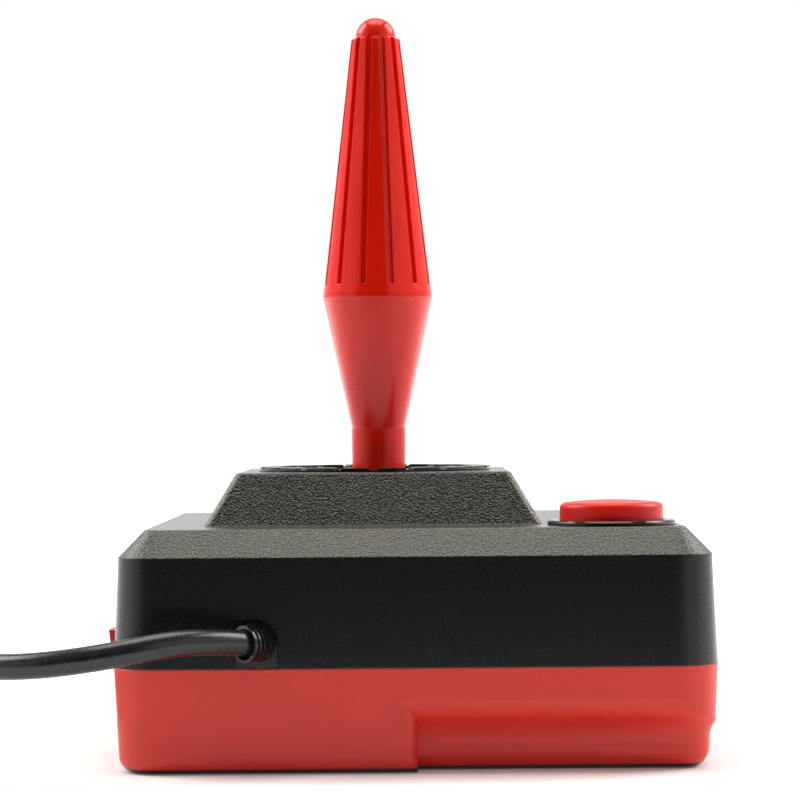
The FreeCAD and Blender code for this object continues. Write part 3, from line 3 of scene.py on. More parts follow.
import bpy
from bpy.props import FloatProperty, FloatVectorProperty, IntProperty, PointerProperty
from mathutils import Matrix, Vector


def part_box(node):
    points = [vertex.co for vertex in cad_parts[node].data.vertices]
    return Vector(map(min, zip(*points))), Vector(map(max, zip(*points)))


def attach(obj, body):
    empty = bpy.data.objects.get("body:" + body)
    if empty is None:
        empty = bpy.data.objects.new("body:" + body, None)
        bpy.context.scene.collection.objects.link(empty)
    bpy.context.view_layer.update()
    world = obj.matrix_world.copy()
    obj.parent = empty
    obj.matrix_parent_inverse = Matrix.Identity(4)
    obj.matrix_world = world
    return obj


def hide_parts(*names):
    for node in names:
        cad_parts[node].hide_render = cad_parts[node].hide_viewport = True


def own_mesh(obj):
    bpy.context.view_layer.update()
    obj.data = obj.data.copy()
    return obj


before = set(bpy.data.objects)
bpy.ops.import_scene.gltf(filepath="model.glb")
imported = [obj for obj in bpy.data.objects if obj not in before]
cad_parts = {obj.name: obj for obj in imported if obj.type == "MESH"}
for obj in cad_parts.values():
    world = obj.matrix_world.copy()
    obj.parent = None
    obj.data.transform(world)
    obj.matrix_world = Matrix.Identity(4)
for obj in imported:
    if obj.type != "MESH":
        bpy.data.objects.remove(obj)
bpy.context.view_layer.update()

bl_info = {
    "name": "Joystick controller",
    "version": (1, 0, 0),
    "blender": (4, 5, 0),
    "location": "3D View > Sidebar > Joystick",
    "description": "Finishes, lead and studio for a joystick controller",
    "category": "Object",
}

MM = 0.001
WHITE = (1.0, 1.0, 1.0)

# The lead's route in millimetres: from the sleeve's mouth to the coil, and from there to the plug.
LEAD_ROUTE = [
    (-26.1, -52.0, 21.3),
    (-35.2, -60.2, 22.8),
    (-47.2, -64.4, 20.5),
    (-59.2, -62.6, 18.8),
    (-69.6, -56.8, 18.4),
    (-79.2, -48.8, 15.2),
    (-89.0, -40.8, 10.2),
    (-100.2, -34.0, 5.2),
    (-113.2, -29.2, 2.5),
]
TAIL_ROUTE = [
    (-155.4, 12.1, 4.6),
    (-154.6, 23.6, 3.2),
    (-150.2, 33.6, 3.0),
    (-142.3, 41.2, 4.4),
    (-132.0, 45.4, 6.2),
    (-120.8, 45.9, 6.5),
]

# The coil, in diameters of the lead: how far each turn lies outside the middle one, how much
# higher the turns lie that rest in the grooves below, and how high they rise to change grooves.
LOWER_TURNS = (1.5, 0.5, -0.5, -1.5)
UPPER_TURNS = (-1, 0, 1, 2)
NESTED_RISE = math.sin(math.radians(60))
HUMP = 0.2

# Widths in metres of patches where a colour drifts, and of fine marks.
TOP_PATCH = 0.010
MOULDED_PATCH = 0.012
POLISHED_PATCH = 0.009
DUST_PATCH = 0.003
LACQUER_PATCH = 0.006
SCUFF = 0.0007
VINYL_MARK = 0.0004
DRAWN_LINE = 0.0005

# Heights in metres of fine marks.
POLISHED_SCUFF_DEPTH = 0.000004
BUTTON_SCUFF_DEPTH = 0.0000005
VINYL_DEPTH = 0.00001
DRAWN_DEPTH = 0.000008
WEAVE_DEPTH = 0.00001

# Marks per metre, and the colour of pale specks of dust.
DUST_SPECKS = 260.0
WEAVE_THREADS = 900.0
DUST_SPECK = (0.55, 0.50, 0.46)

# Grain of the case top, as shares of the case's grain, and the height in metres over which the
# turret's finish sets in.
PEBBLE_WIDTH = 1.3
FINE_WIDTH = 0.5
FINE_DEPTH = 0.05
TURRET_RAMP = 0.0004

# The painted contact shadow at the foot of the case, a dark band: where it begins to fade, as a
# share of its height, and its shade of the case's colour.
FOOT_SHADOW_FADE = 0.75
FOOT_SHADOW_DARKNESS = 0.05

# Roughness of finishes that more than one piece has.
STEEL_GLOSS = 0.32
VINYL_GLOSS = 0.22
NYLON_GLOSS = 0.4

# Angle in degrees above which an edge stays sharp.
SHELL_SHARP = 20.0
ROUND_SHARP = 25.0
PLAIN_SHARP = 30.0

# Stage, in metres: the floor, the dark cloth on it, and the strip before the cloth in which the
# floor turns white.
FLOOR_WIDTH = 8.0
CLOTH_WIDTH = 3.0
CLOTH_LIFT = 0.0005
CLOTH_EDGE = 0.02
CLOTH_COLOUR = (0.02, 0.02, 0.02)

# White that the floor shows to the camera by itself: its share near the object, and how far from
# the object it begins to grow and is full.
NEAR_GLOW = 0.07
GLOW_START = 0.12
GLOW_END = 0.6

# Softboxes: edge in metres, place and colour. The left one mirrors the right one.
OVERHEAD_SIZE = 0.65
OVERHEAD_PLACE = (0.0, 0.1, 0.9)
OVERHEAD_TINT = (1.0, 0.985, 0.90)
SIDE_SIZE = 0.6
SIDE_PLACE = (0.74, 0.25, 0.67)
LAMP_AIM = (0.0, 0.0, 0.05)

# Half the width of the soft edges of the tent's open front.
OPENING_BLUR = math.radians(4)

# Sockets of a Mix node that mixes colours.
FIRST_COLOUR, SECOND_COLOUR, MIXED_COLOUR = 6, 7, 2


def tint(name, description, colour):
    return FloatVectorProperty(
        name=name, description=description, subtype="COLOR", size=3, min=0.0, max=1.0,
        default=colour,
    )


def metres(name, description, default):
    return FloatProperty(
        name=name, description=description, unit="LENGTH", precision=5, default=default,
    )


def degrees(name, description, default):
    return FloatProperty(
        name=name, description=description, subtype="ANGLE", default=math.radians(default),
    )


def watts(name, description, default):
    return FloatProperty(name=name, description=description, unit="POWER", default=default)


def level(name, description, default):
    return FloatProperty(name=name, description=description, min=0.0, default=default)


class CaseFinish(bpy.types.PropertyGroup):
    """Colours and grain of the case, the stick and the button."""
    bottom: tint("Bottom", "Colour of the case bottom and the slide knob", (0.70, 0.026, 0.013))
    stick: tint("Stick", "Colour of the stick", (0.90, 0.013, 0.001))
    button: tint("Button", "Colour of the fire button", (0.78, 0.010, 0.003))
    top: tint("Top", "Colour of the case top", (0.0050, 0.0048, 0.0049))
    # Painted light: the paler colour, with glints, of faces of the top that look up.
    dust_and_sheen: tint("Upward light", "Colour of the case top where it faces up", (0.038, 0.038, 0.026))
    # Painted highlight: the colour of the turret's rounded corners, where they catch the side
    # lamps.
    corner_highlight: tint("Corner highlight", "Colour of the turret's rubbed corners", (0.30, 0.26, 0.21))
    gloss_black: tint("Rings", "Colour of the collar ring and the bezel", (0.008, 0.008, 0.008))
    travel: metres("Button travel", "Way that the fire button goes down", 0.0016)
    turret: metres("Turret", "Height of the turret, which has the strongest grain", 0.0087)
    grain: metres("Grain", "Width of the moulded grain", 0.00024)
    grain_depth: metres("Grain depth", "Height of the moulded grain", 0.00022)
    soft_edge: metres("Soft edge", "Rounding that moulded edges show", 0.0003)
    # Height of the painted contact shadow, a dark band at the foot of the case.
    foot_shadow: metres("Foot shadow", "Height of the dark band at the foot of the case", 0.00095)


class LeadSizes(bpy.types.PropertyGroup):
    """Sizes and colour of the lead and its coil."""
    diameter: metres("Diameter", "Lead, across", 0.0042)
    length: metres("Length", "Lead from the sleeve to the plug", 1.244)
    coil_x: metres("Coil X", "Middle of the coil", -0.1236)
    coil_y: metres("Coil Y", "Middle of the coil", 0.00155)
    turn_radius: metres("Turn radius", "Middle of the coil's turns", 0.023)
    points_per_turn: IntProperty(
        name="Points", description="Points in each turn", default=20, min=12,
    )
    colour: tint("Sheath", "Colour of the lead", (0.010, 0.010, 0.011))


class InsideFinish(bpy.types.PropertyGroup):
    """Colours of the mechanism, the switches, the board and the plug's shell."""
    steel: tint("Steel", "Colour of pins, screws and the spring", (0.6, 0.6, 0.6))
    plating: tint("Plating", "Colour of the plug's shell", (0.62, 0.6, 0.56))
    nylon: tint("Nylon", "Colour of the gimbal and the plate under the stick", (0.7, 0.68, 0.62))
    switches: tint("Switches", "Colour of the switches", (0.05, 0.05, 0.055))
    board: tint("Board", "Colour of the circuit board", (0.03, 0.16, 0.06))
    wires: tint("Wires", "Colour of the lead's wires", (0.45, 0.25, 0.05))
    soft_edge: metres("Soft edge", "Rounding that small mouldings show", 0.0002)


class StudioSetup(bpy.types.PropertyGroup):
    """Camera, floor and light tent."""
    distance: metres("Distance", "Camera in front of the middle of the base", 0.535)
    height: metres("Height", "Camera above the floor", 0.0576)
    lens: FloatProperty(name="Lens", description="Focal length", unit="CAMERA", default=136.8)
    roll: degrees("Roll", "Turn of the picture", 0.45)
    shift_x: FloatProperty(name="Shift X", description="Framing, sideways", default=-0.0175)
    shift_y: FloatProperty(name="Shift Y", description="Framing, upwards", default=0.018)
    floor: tint("Floor", "Colour of the floor", (0.9, 0.9, 0.9))
    sheet: metres("Sheet", "White floor in front of the stick, up to a dark cloth", 0.21)
    overhead: watts("Overhead lamp", "Power of the overhead softbox", 5.2)
    side: watts("Side lamps", "Power of each side softbox", 7.2)
    walls: level("Walls", "Light of the tent's side walls", 0.76)
    roof: level("Roof", "Light of the tent's roof", 0.24)
    opening: level("Opening", "Light from the tent's open front", 0.05)
    open_left: degrees("Open from", "Left edge of the open front, round from +X", -137.0)
    open_right: degrees("Open to", "Right edge of the open front, round from +X", -64.0)


class Graph:
    """A node tree and the ways to add to it."""

    def __init__(self, tree):
        self.tree = tree
        tree.nodes.clear()
        self.coords = self.add("TexCoord")

    def add(self, kind, **inputs):
        """A new node with its inputs set."""
        node = self.tree.nodes.new(f"ShaderNode{kind}")
        self.set(node, **inputs)
        return node

    def set(self, node, **inputs):
        for key, number in inputs.items():
            node.inputs[key.replace("_", " ")].default_value = number

    def join(self, source, output, target, socket):
        self.tree.links.new(source.outputs[output], target.inputs[socket])

    def parts(self, kind):
        """The X, Y and Z of a place or a direction."""
        node = self.add("SeparateXYZ")
        self.join(self.coords, kind, node, "Vector")
        return node

    def ranged(self, source, output, low=0.0, high=1.0, start=0.3, end=0.7):
        """A value that goes from low to high while the source goes from start to end."""
        node = self.add("MapRange", From_Min=start, From_Max=end, To_Min=low, To_Max=high)
        self.join(source, output, node, "Value")
        return node

    def maths(self, operation, *sources):
        """One calculation with nodes, outputs of nodes and plain numbers."""
        node = self.add("Math")
        node.operation = operation
        for socket, source in zip(node.inputs, sources):
            if isinstance(source, float):
                socket.default_value = source
            elif isinstance(source, bpy.types.Node):
                self.tree.links.new(source.outputs[0], socket)
            else:
                self.tree.links.new(source, socket)
        return node

    def seen(self):
        """Two values: rays from the camera, and rays off mirrors or through glass."""
        path = self.add("LightPath")
        glossy, clear = path.outputs["Is Glossy Ray"], path.outputs["Is Transmission Ray"]
        return path.outputs["Is Camera Ray"], self.maths("MAXIMUM", glossy, clear)


class Finish(Graph):
    """One finish: a material with its nodes."""

    def __init__(self, name):
        self.material = bpy.data.materials.new(name)
        self.material.use_nodes = True
        super().__init__(self.material.node_tree)
        self.output = self.add("OutputMaterial")
        self.shader = self.add("BsdfPrincipled")
        self.join(self.shader, "BSDF", self.output, "Surface")

    def texture(self, kind, **inputs):
        """A texture that stays on the piece when it moves."""
        node = self.add(f"Tex{kind}", **inputs)
        self.join(self.coords, "Object", node, "Vector")
        return node

    def noise(self, width, detail=3.0, roughness=0.5):
        """Soft noise whose patches are about a width across."""
        return self.texture("Noise", Scale=1.0 / width, Detail=detail, Roughness=roughness)

    def cells(self, width, smooth=0.6):
        """Rounded pebbles about a width across."""
        node = self.texture("Voronoi", Scale=1.0 / width)
        node.feature = "SMOOTH_F1"
        self.set(node, Smoothness=smooth)
        return node

    def stretch(self, texture, scale):
        """Draws a texture out along the axes whose scale is below one."""
        mapping = self.add("Mapping", Scale=scale)
        self.join(self.coords, "Object", mapping, "Vector")
        self.join(mapping, "Vector", texture, "Vector")

    def drift(self, width):
        """A slow change over the surface, in patches about a width across."""
        return self.ranged(self.noise(width), "Fac")

    def along_z(self, kind, start, end, low=0.0, high=1.0):
        """A value spread over the height of a place, or over how far a face looks up."""
        return self.ranged(self.parts(kind), "Z", low, high, start, end)

    def corners(self):
        """One on rounded corners, which look along neither X nor Y alone."""
        look = self.parts("Normal")
        both = self.maths("MULTIPLY", look.outputs["X"], look.outputs["Y"])
        return self.ranged(self.maths("ABSOLUTE", both), "Value", start=0.06, end=0.2)

    def blend(self, factor, first, second):
        """Two colours, or blends of colours, mixed by a value."""
        node = self.add("Mix")
        node.data_type = "RGBA"
        for socket, source in ((FIRST_COLOUR, first), (SECOND_COLOUR, second)):
            if isinstance(source, bpy.types.Node):
                self.join(source, MIXED_COLOUR, node, socket)
            else:
                node.inputs[socket].default_value = (*source, 1.0)
        self.join(factor, "Result", node, "Factor")
        return node

    def mottled(self, factor, colour, dark, pale):
        """A colour that goes from a dark to a pale shade of itself."""
        return self.blend(factor, shade(colour, dark), shade(colour, pale))

    def soft_edges(self, radius):
        """A normal that rolls over sharp edges."""
        node = self.add("Bevel", Radius=radius)
        node.samples = 6
        return node

    def bump(self, source, output, depth, strength=1.0, below=None):
        """Grain of a depth, on top of another normal if one is given."""
        node = self.add("Bump", Distance=depth)
        if isinstance(strength, float):
            self.set(node, Strength=strength)
        else:
            self.join(strength, 0, node, "Strength")
        self.join(source, output, node, "Height")
        if below:
            self.join(below, "Normal", node, "Normal")
        return node

    def normal(self, bump):
        self.join(bump, "Normal", self.shader, "Normal")

    def colour(self, mix):
        self.join(mix, MIXED_COLOUR, self.shader, "Base Color")

    def roughness(self, value):
        self.join(value, 0, self.shader, "Roughness")


def shade(colour, factor):
    return tuple(min(1.0, channel * factor) for channel in colour)


def pebbled_top(name, look, deck):
    """Black top: plain walls, painted light and glints facing up and on the turret's corners."""
    finish = Finish(name)
    drift = finish.drift(TOP_PATCH)
    pebbles = finish.noise(look.grain * PEBBLE_WIDTH, detail=1.0)
    specks = finish.ranged(pebbles, "Fac", start=0.44, end=0.56)
    fine = finish.noise(look.grain * FINE_WIDTH, roughness=0.6)
    upward = finish.along_z("Normal", start=0.35, end=0.65)
    on_turret = finish.along_z("Object", start=deck, end=deck + TURRET_RAMP)

    # Painted light: faces that look up get a paler colour with bright glints, as light from above.
    walls = finish.mottled(drift, look.top, dark=0.92, pale=1.08)
    unlit_pebbles = finish.mottled(drift, look.dust_and_sheen, dark=0.1, pale=0.3)
    dust_and_glints = finish.mottled(drift, look.dust_and_sheen, dark=1.7, pale=2.1)
    plain = finish.blend(upward, walls, finish.blend(specks, unlit_pebbles, dust_and_glints))
    # Painted highlight: the turret's rounded corners are paled, standing in for the side lamps'
    # gleam.
    highlit = finish.maths("MULTIPLY", finish.corners(), on_turret)
    corner_highlight = finish.ranged(highlit, "Value", high=0.85, start=0.0, end=1.0)
    pale = finish.mottled(specks, look.corner_highlight, dark=0.5, pale=1.2)
    finish.colour(finish.blend(corner_highlight, plain, pale))

    level_top = finish.along_z("Normal", start=0.85, end=0.97, low=0.26, high=0.18)
    polish = finish.maths("MULTIPLY", on_turret, -0.08)
    speckle = finish.ranged(fine, "Fac", low=-0.04, high=0.04)
    finish.roughness(finish.maths("ADD", finish.maths("ADD", level_top, polish), speckle))

    slight = finish.along_z("Normal", start=0.2, end=0.6, low=0.03, high=0.5)
    tower = finish.maths("MULTIPLY", on_turret, 0.6)
    strength = finish.maths("ADD", slight, tower)
    edges = finish.soft_edges(look.soft_edge)
    coarse = finish.bump(pebbles, "Fac", look.grain_depth, strength, edges)
    finish.normal(finish.bump(fine, "Fac", look.grain_depth * FINE_DEPTH, below=coarse))
    return finish.material


def moulded(name, colour, gloss, grain, depth, edge, foot_shadow=0.0):
    """Moulded plastic: fine grain, slight mottle and, if asked, a painted shadow at its foot."""
    finish = Finish(name)
    drift = finish.drift(MOULDED_PATCH)
    fine = finish.noise(grain * 0.6, roughness=0.6)
    specks = finish.ranged(fine, "Fac", start=0.35, end=0.65)
    dark = finish.mottled(drift, colour, dark=0.89, pale=0.99)
    pale = finish.mottled(drift, colour, dark=1.01, pale=1.11)
    plain = finish.blend(specks, dark, pale)
    # Painted shadow: the lowest band is darkened, standing in for the contact shadow under the
    # case.
    if foot_shadow:
        foot = finish.along_z("Object", start=FOOT_SHADOW_FADE * foot_shadow, end=foot_shadow, low=1.0, high=0.0)
        plain = finish.blend(foot, plain, shade(colour, FOOT_SHADOW_DARKNESS))
    finish.colour(plain)
    finish.roughness(finish.ranged(fine, "Fac", low=gloss - 0.06, high=gloss + 0.06))
    pebbles = finish.bump(finish.cells(grain), "Distance", depth, below=finish.soft_edges(edge))
    finish.normal(finish.bump(fine, "Fac", depth * 0.4, below=pebbles))
    return finish.material


def smooth_plastic(name, colour, gloss, edge, scuff=POLISHED_SCUFF_DEPTH, specular=0.5):
    """Polished moulding with soft edges, fine scuffs and a few pale specks of dust."""
    finish = Finish(name)
    plain = finish.mottled(finish.drift(POLISHED_PATCH), colour, dark=0.96, pale=1.04)
    specks = finish.texture("Voronoi", Scale=DUST_SPECKS)
    dust_and_glints = finish.ranged(specks, "Distance", low=0.35, high=0.0, start=0.03, end=0.045)
    finish.colour(finish.blend(dust_and_glints, plain, DUST_SPECK))
    scuffs = finish.noise(SCUFF, detail=4.0, roughness=0.7)
    finish.stretch(scuffs, (1.0, 1.0, 0.35))
    finish.roughness(finish.ranged(scuffs, "Fac", low=gloss - 0.04, high=gloss + 0.05))
    finish.normal(finish.bump(scuffs, "Fac", scuff, below=finish.soft_edges(edge)))
    finish.set(finish.shader, Specular_IOR_Level=specular)
    return finish.material


def sheath(name, colour, gloss):
    """Soft vinyl: satin, a little dusty, with fine marks."""
    finish = Finish(name)
    dust_and_sheen = finish.ranged(finish.noise(DUST_PATCH, detail=4.0, roughness=0.6), "Fac")
    finish.colour(finish.mottled(dust_and_sheen, colour, dark=0.85, pale=1.3))
    marks = finish.noise(VINYL_MARK)
    finish.roughness(finish.ranged(marks, "Fac", low=gloss - 0.05, high=gloss + 0.08))
    finish.normal(finish.bump(marks, "Fac", VINYL_DEPTH))
    return finish.material


def metal(name, colour, gloss):
    """Plated metal with fine drawn lines."""
    finish = Finish(name)
    lines = finish.noise(DRAWN_LINE, detail=4.0, roughness=0.7)
    finish.colour(finish.mottled(finish.ranged(lines, "Fac"), colour, dark=0.9, pale=1.08))
    finish.roughness(finish.ranged(lines, "Fac", low=gloss - 0.07, high=gloss + 0.1))
    finish.normal(finish.bump(lines, "Fac", DRAWN_DEPTH))
    finish.set(finish.shader, Metallic=1.0)
    return finish.material


def laminate(name, colour):
    """Lacquered board: the weave shows through the green."""
    finish = Finish(name)
    weave = finish.texture("Checker", Scale=WEAVE_THREADS)
    threads = finish.ranged(weave, "Fac", start=0.0, end=1.0)
    finish.colour(finish.mottled(threads, colour, dark=0.9, pale=1.1))
    lacquer = finish.noise(LACQUER_PATCH, detail=2.0)
    finish.roughness(finish.ranged(lacquer, "Fac", low=0.25, high=0.4))
    finish.normal(finish.bump(weave, "Fac", WEAVE_DEPTH))
    return finish.material


def matte(name, colour):
    """A dull finish for the sheets of the stage."""
    finish = Finish(name)
    finish.set(
        finish.shader, Base_Color=(*colour, 1.0), Roughness=0.9, Specular_IOR_Level=0.1,
    )
    return finish


def dress(material, *nodes, sharp=PLAIN_SHARP):
    """Gives CAD nodes a finish and smooth shading over their curved faces."""
    for node in nodes:
        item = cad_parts[node]
        item.data.materials.clear()
        item.data.materials.append(material)
        item.data.shade_smooth()
        item.data.set_sharp_from_angle(angle=math.radians(sharp))


def plane(name, width, place, material):
    """A flat square sheet of the stage."""
    half = width / 2
    corners = [(-half, -half, 0), (half, -half, 0), (half, half, 0), (-half, half, 0)]
    mesh = bpy.data.meshes.new(name)
    mesh.from_pydata(corners, [], [(0, 1, 2, 3)])
    mesh.materials.append(material)
    item = bpy.data.objects.new(name, mesh)
    item.location = place
    bpy.context.scene.collection.objects.link(item)
    return item


class JOYSTICK_OT_stage(bpy.types.Operator):
    """Make the camera, the white floor and the light tent"""
    bl_idname = "joystick.stage"
    bl_label = "Stage"

    def execute(self, context):
        setup = context.scene.joystick_studio
        self.camera(context, setup)
        self.floor(setup)
        self.cloth(setup)
        self.tent(context, setup)
        self.lamp(
            context, "overhead_softbox", setup.overhead, OVERHEAD_SIZE, OVERHEAD_PLACE,
            OVERHEAD_TINT,
        )
        across, back, up = SIDE_PLACE
        self.lamp(context, "left_softbox", setup.side, SIDE_SIZE, (-across, back, up))
        self.lamp(context, "right_softbox", setup.side, SIDE_SIZE, (across, back, up))
        context.scene.view_settings.view_transform = "Standard"
        return {"FINISHED"}

    def camera(self, context, setup):
        """The photograph's view: level, a little rolled, and framed by its shift."""
        data = bpy.data.cameras.new("camera")
        data.sensor_width = 36.0
        data.lens = setup.lens
        data.shift_x = setup.shift_x
        data.shift_y = setup.shift_y
        data.clip_start = 0.01
        item = bpy.data.objects.new("camera", data)
        item.location = (0.0, -setup.distance, setup.height)
        item.rotation_euler = (math.radians(90), setup.roll, 0.0)
        context.scene.collection.objects.link(item)
        context.scene.camera = item

    def floor(self, setup):
        """A pale floor that keeps the object's shadow, white further out and under the cloth."""
        finish = matte("pale_floor", setup.floor)
        reach = finish.add("VectorMath")
        reach.operation = "LENGTH"
        finish.join(finish.coords, "Object", reach, 0)
        near = finish.ranged(reach, "Value", low=NEAR_GLOW, start=GLOW_START, end=GLOW_END)
        covered = finish.ranged(
            finish.parts("Object"), "Y", low=1.0, high=0.0,
            start=-setup.sheet, end=-setup.sheet + CLOTH_EDGE,
        )
        share = finish.maths("MAXIMUM", near, covered)
        seen = finish.maths("MAXIMUM", *finish.seen())
        glow = finish.add("Emission", Color=(*WHITE, 1.0))
        finish.join(finish.maths("MULTIPLY", share, seen), 0, glow, "Strength")
        both = finish.add("AddShader")
        finish.join(finish.shader, 0, both, 0)
        finish.join(glow, 0, both, 1)
        finish.join(both, 0, finish.output, "Surface")
        plane("floor", FLOOR_WIDTH, (0.0, 0.0, 0.0), finish.material)

    def cloth(self, setup):
        """A dark cloth in front, which shows in the object's gloss and not to the camera."""
        middle = -CLOTH_WIDTH / 2 - setup.sheet
        finish = matte("dark_cloth", CLOTH_COLOUR)
        front = plane("dark_cloth", CLOTH_WIDTH, (0.0, middle, CLOTH_LIFT), finish.material)
        front.visible_camera = False

    def tent(self, context, setup):
        """White walls at the sides and behind, a dimmer roof and a dark open front."""
        world = bpy.data.worlds.new("light_tent")
        context.scene.world = world
        world.use_nodes = True
        graph = Graph(world.node_tree)
        output = graph.add("OutputWorld")
        way = graph.parts("Generated")
        turn = graph.maths("ARCTAN2", way.outputs["Y"], way.outputs["X"])
        left = graph.ranged(
            turn, "Value", low=1.0, high=0.0,
            start=setup.open_left - OPENING_BLUR, end=setup.open_left + OPENING_BLUR,
        )
        right = graph.ranged(
            turn, "Value", low=0.0, high=1.0,
            start=setup.open_right - OPENING_BLUR, end=setup.open_right + OPENING_BLUR,
        )
        sides = graph.maths("MAXIMUM", left, right)
        walls = graph.ranged(way, "Z", setup.walls, setup.roof, start=0.5, end=0.65)
        front = graph.ranged(way, "Z", setup.opening, setup.roof, start=0.4, end=0.85)
        light = graph.add("Mix")
        graph.join(sides, "Value", light, "Factor")
        graph.join(front, "Result", light, "A")
        graph.join(walls, "Result", light, "B")
        studio = graph.add("Background", Color=(*WHITE, 1.0))
        graph.join(light, "Result", studio, "Strength")
        white = graph.add("Background", Color=(*WHITE, 1.0), Strength=1.0)
        behind = graph.ranged(way, "Y", start=0.6, end=0.8)
        camera, mirrored = graph.seen()
        seen = graph.maths("MAXIMUM", camera, graph.maths("MULTIPLY", mirrored, behind))
        chosen = graph.add("MixShader")
        graph.join(seen, 0, chosen, 0)
        graph.join(studio, 0, chosen, 1)
        graph.join(white, 0, chosen, 2)
        graph.join(chosen, 0, output, "Surface")

    def lamp(self, context, name, power, size, place, colour=WHITE):
        """A square softbox that shines at the middle of the object."""
        data = bpy.data.lights.new(name, "AREA")
        data.size = size
        data.energy = power
        data.color = colour
        item = bpy.data.objects.new(name, data)
        item.location = place
        away = Vector(place) - Vector(LAMP_AIM)
        item.rotation_euler = away.to_track_quat("Z", "Y").to_euler()
        context.scene.collection.objects.link(item)


class JOYSTICK_OT_lead(bpy.types.Operator):
    """Lay the lead: out of its sleeve, into the coil and on to the plug"""
    bl_idname = "joystick.lead"
    bl_label = "Lead"

    def execute(self, context):
        sizes = context.scene.joystick_lead
        curve = bpy.data.curves.new("lead", "CURVE")
        curve.dimensions = "3D"
        curve.bevel_depth = sizes.diameter / 2
        curve.bevel_resolution = 6
        curve.resolution_u = 8
        curve.use_fill_caps = True
        route = [*self.run(LEAD_ROUTE), *self.turns(sizes), *self.run(TAIL_ROUTE)]
        spline = curve.splines.new("NURBS")
        spline.points.add(len(route) - 1)
        for point, place in zip(spline.points, route):
            point.co = (*place, 1.0)
        spline.order_u = 3
        spline.use_endpoint_u = True
        lead = bpy.data.objects.new("lead", curve)
        context.scene.collection.objects.link(lead)
        curve.materials.append(sheath("black_sheath", sizes.colour, VINYL_GLOSS))
        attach(lead, "base")
        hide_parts("cable_lead", "cable_coil", "cable_tail")
        return {"FINISHED"}

    def run(self, route):
        """A route's points in metres."""
        return [tuple(MM * part for part in point) for point in route]

    def turns(self, sizes):
        """Four turns from the outside in, and above them three and a quarter back out."""
        across = sizes.diameter
        below = across / 2
        above = below + across * NESTED_RISE
        radii = [sizes.turn_radius + across * step for step in LOWER_TURNS + UPPER_TURNS]
        heights = [below] * len(LOWER_TURNS) + [above] * len(UPPER_TURNS)
        last = len(radii) - 1
        count = sizes.points_per_turn
        # The smooth curve runs inside its points, so they lie a little further out.
        spread = 1 / math.cos(math.pi / count)
        points = []
        for index in range(last * count + count // 4 + 1):
            turn, rest = divmod(index, count)
            # In its last quarter a turn passes over to the next one's place.
            change = max(0.0, 4 * rest / count - 3)
            ease = change * change * (3 - 2 * change)
            after = min(turn + 1, last)
            radius = radii[turn] + (radii[after] - radii[turn]) * ease
            height = heights[turn] + (heights[after] - heights[turn]) * ease
            if turn >= len(LOWER_TURNS):
                height += HUMP * across * math.sin(math.pi * change)
            way = -math.pi / 2 - 2 * math.pi * index / count
            points.append((
                sizes.coil_x + radius * spread * math.cos(way),
                sizes.coil_y + radius * spread * math.sin(way),
                height,
            ))
        return points


class JOYSTICK_OT_case(bpy.types.Operator):
    """Finish the case, its rings and the slide knob"""
    bl_idname = "joystick.case"
    bl_label = "Case"

    def execute(self, context):
        look = context.scene.joystick_case
        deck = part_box("top_shell")[1][2] - look.turret
        # The top gets painted light and glints where it looks up, and painted highlights on its
        # corners.
        dress(pebbled_top("black_pebbles", look, deck), "top_shell", sharp=SHELL_SHARP)
        black = moulded(
            "black_grain", look.top, gloss=0.45, grain=look.grain,
            depth=look.grain_depth * 0.2, edge=look.soft_edge,
        )
        dress(black, "dust_dome", "bearing_caps", sharp=SHELL_SHARP)
        # The red case gets a painted contact shadow along its foot.
        red = moulded(
            "red_grain", look.bottom, gloss=0.36, grain=look.grain * 0.8,
            depth=look.grain_depth * 0.1, edge=look.soft_edge, foot_shadow=look.foot_shadow,
        )
        dress(red, "bottom_shell", "switch_knob", sharp=SHELL_SHARP)
        rings = smooth_plastic("black_gloss", look.gloss_black, gloss=0.12, edge=look.soft_edge)
        dress(rings, "collar_ring", "button_bezel")
        return {"FINISHED"}


class JOYSTICK_OT_stick(bpy.types.Operator):
    """Finish the stick"""
    bl_idname = "joystick.stick"
    bl_label = "Stick"

    def execute(self, context):
        look = context.scene.joystick_case
        red = smooth_plastic(
            "red_stick", look.stick, gloss=0.17, edge=look.soft_edge, specular=0.35,
        )
        dress(red, "stick", sharp=ROUND_SHARP)
        return {"FINISHED"}


class JOYSTICK_OT_button(bpy.types.Operator):
    """Finish the fire button and make its spring"""
    bl_idname = "joystick.button"
    bl_label = "Fire button"

    def execute(self, context):
        look = context.scene.joystick_case
        red = smooth_plastic(
            "red_button", look.button, gloss=0.34, edge=look.soft_edge,
            scuff=BUTTON_SCUFF_DEPTH, specular=0.3,
        )
        dress(red, "fire_button", sharp=ROUND_SHARP)
        steel = metal("spring_steel", context.scene.joystick_inside.steel, STEEL_GLOSS)
        dress(steel, "fire_spring")
        spring = bpy.data.objects.new("return_spring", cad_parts["fire_spring"].data.copy())
        context.scene.collection.objects.link(spring)
        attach(spring, "base")
        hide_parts("fire_spring")
        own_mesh(spring)
        return {"FINISHED"}


class JOYSTICK_OT_relief(bpy.types.Operator):
    """Finish the strain relief, the coil's tie and the plug"""
    bl_idname = "joystick.relief"
    bl_label = "Relief and plug"

    def execute(self, context):
        lead = context.scene.joystick_lead
        rubber = sheath("black_rubber", shade(lead.colour, 0.7), VINYL_GLOSS)
        dress(rubber, "strain_relief", "coil_tie", "lead_tail")
        hood = moulded(
            "plug_grain", shade(lead.colour, 1.2), gloss=0.5, grain=0.0005, depth=0.00002,
            edge=0.0003,
        )
        dress(hood, "plug_hood", "plug_insert")
        shell = metal("plated_shell", context.scene.joystick_inside.plating, gloss=0.3)
        dress(shell, "plug_shell")
        return {"FINISHED"}


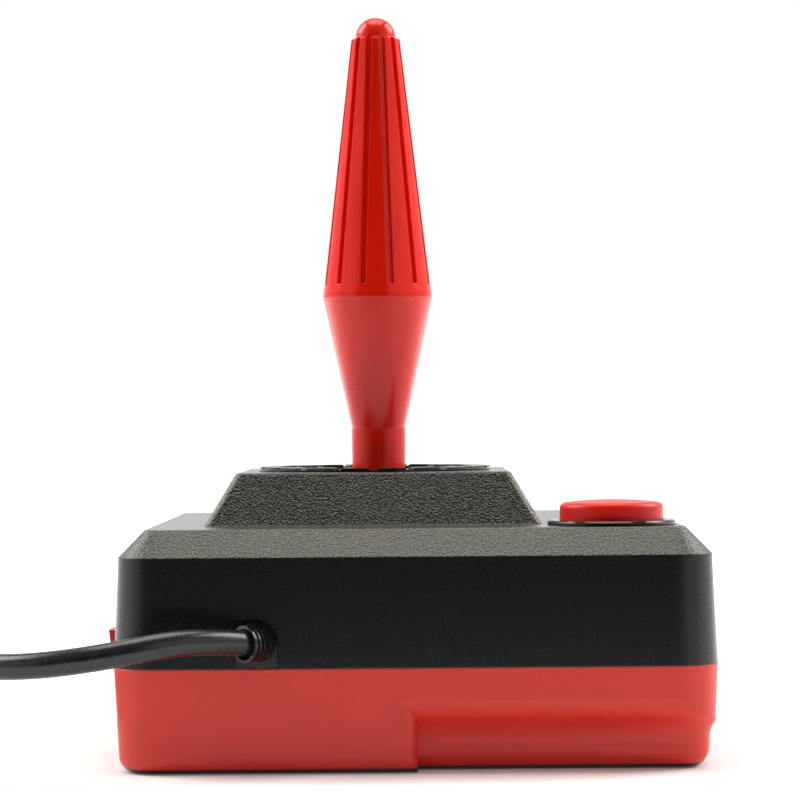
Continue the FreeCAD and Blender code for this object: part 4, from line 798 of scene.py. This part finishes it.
class JOYSTICK_OT_inside(bpy.types.Operator):
    """Finish the mechanism, the switches and the board inside the case"""
    bl_idname = "joystick.inside"
    bl_label = "Inside"

    def execute(self, context):
        look = context.scene.joystick_inside
        steel = metal("steel", look.steel, STEEL_GLOSS)
        dress(steel, "cross_pin", "bearing_screws", "actuator_screw", "board_screws", "case_screws")
        pale = smooth_plastic("pale_nylon", look.nylon, NYLON_GLOSS, look.soft_edge)
        dress(pale, "gimbal_ring", "actuator_plate", "lead_header")
        dark = smooth_plastic("switch_plastic", look.switches, NYLON_GLOSS, look.soft_edge)
        dress(dark, "direction_switches", "fire_switch", "slide_switch_body")
        dress(laminate("green_laminate", look.board), "circuit_board")
        dress(sheath("wire_sleeve", look.wires, NYLON_GLOSS), "lead_wires")
        return {"FINISHED"}


class JOYSTICK_PT_panel(bpy.types.Panel):
    """The joystick's pieces and their finishes"""
    bl_idname = "JOYSTICK_PT_panel"
    bl_label = "Joystick controller"
    bl_space_type = "VIEW_3D"
    bl_region_type = "UI"
    bl_category = "Joystick"

    def draw(self, context):
        for group in GROUPS:
            settings = getattr(context.scene, group)
            for name in settings.__annotations__:
                self.layout.prop(settings, name)
        for piece in PIECES:
            self.layout.operator(piece.bl_idname)


PIECES = [
    JOYSTICK_OT_stage, JOYSTICK_OT_lead, JOYSTICK_OT_case, JOYSTICK_OT_stick, JOYSTICK_OT_button,
    JOYSTICK_OT_relief, JOYSTICK_OT_inside,
]
GROUPS = {
    "joystick_case": CaseFinish,
    "joystick_lead": LeadSizes,
    "joystick_inside": InsideFinish,
    "joystick_studio": StudioSetup,
}


def register():
    for name, group in GROUPS.items():
        bpy.utils.register_class(group)
        setattr(bpy.types.Scene, name, PointerProperty(type=group))
    for kind in [*PIECES, JOYSTICK_PT_panel]:
        bpy.utils.register_class(kind)


def unregister():
    for kind in [JOYSTICK_PT_panel, *reversed(PIECES)]:
        bpy.utils.unregister_class(kind)
    for name, group in GROUPS.items():
        delattr(bpy.types.Scene, name)
        bpy.utils.unregister_class(group)


def main():
    register()
    for piece in PIECES:
        group, name = piece.bl_idname.split(".")
        getattr(getattr(bpy.ops, group), name)()


if __name__ == "__main__":
    main()
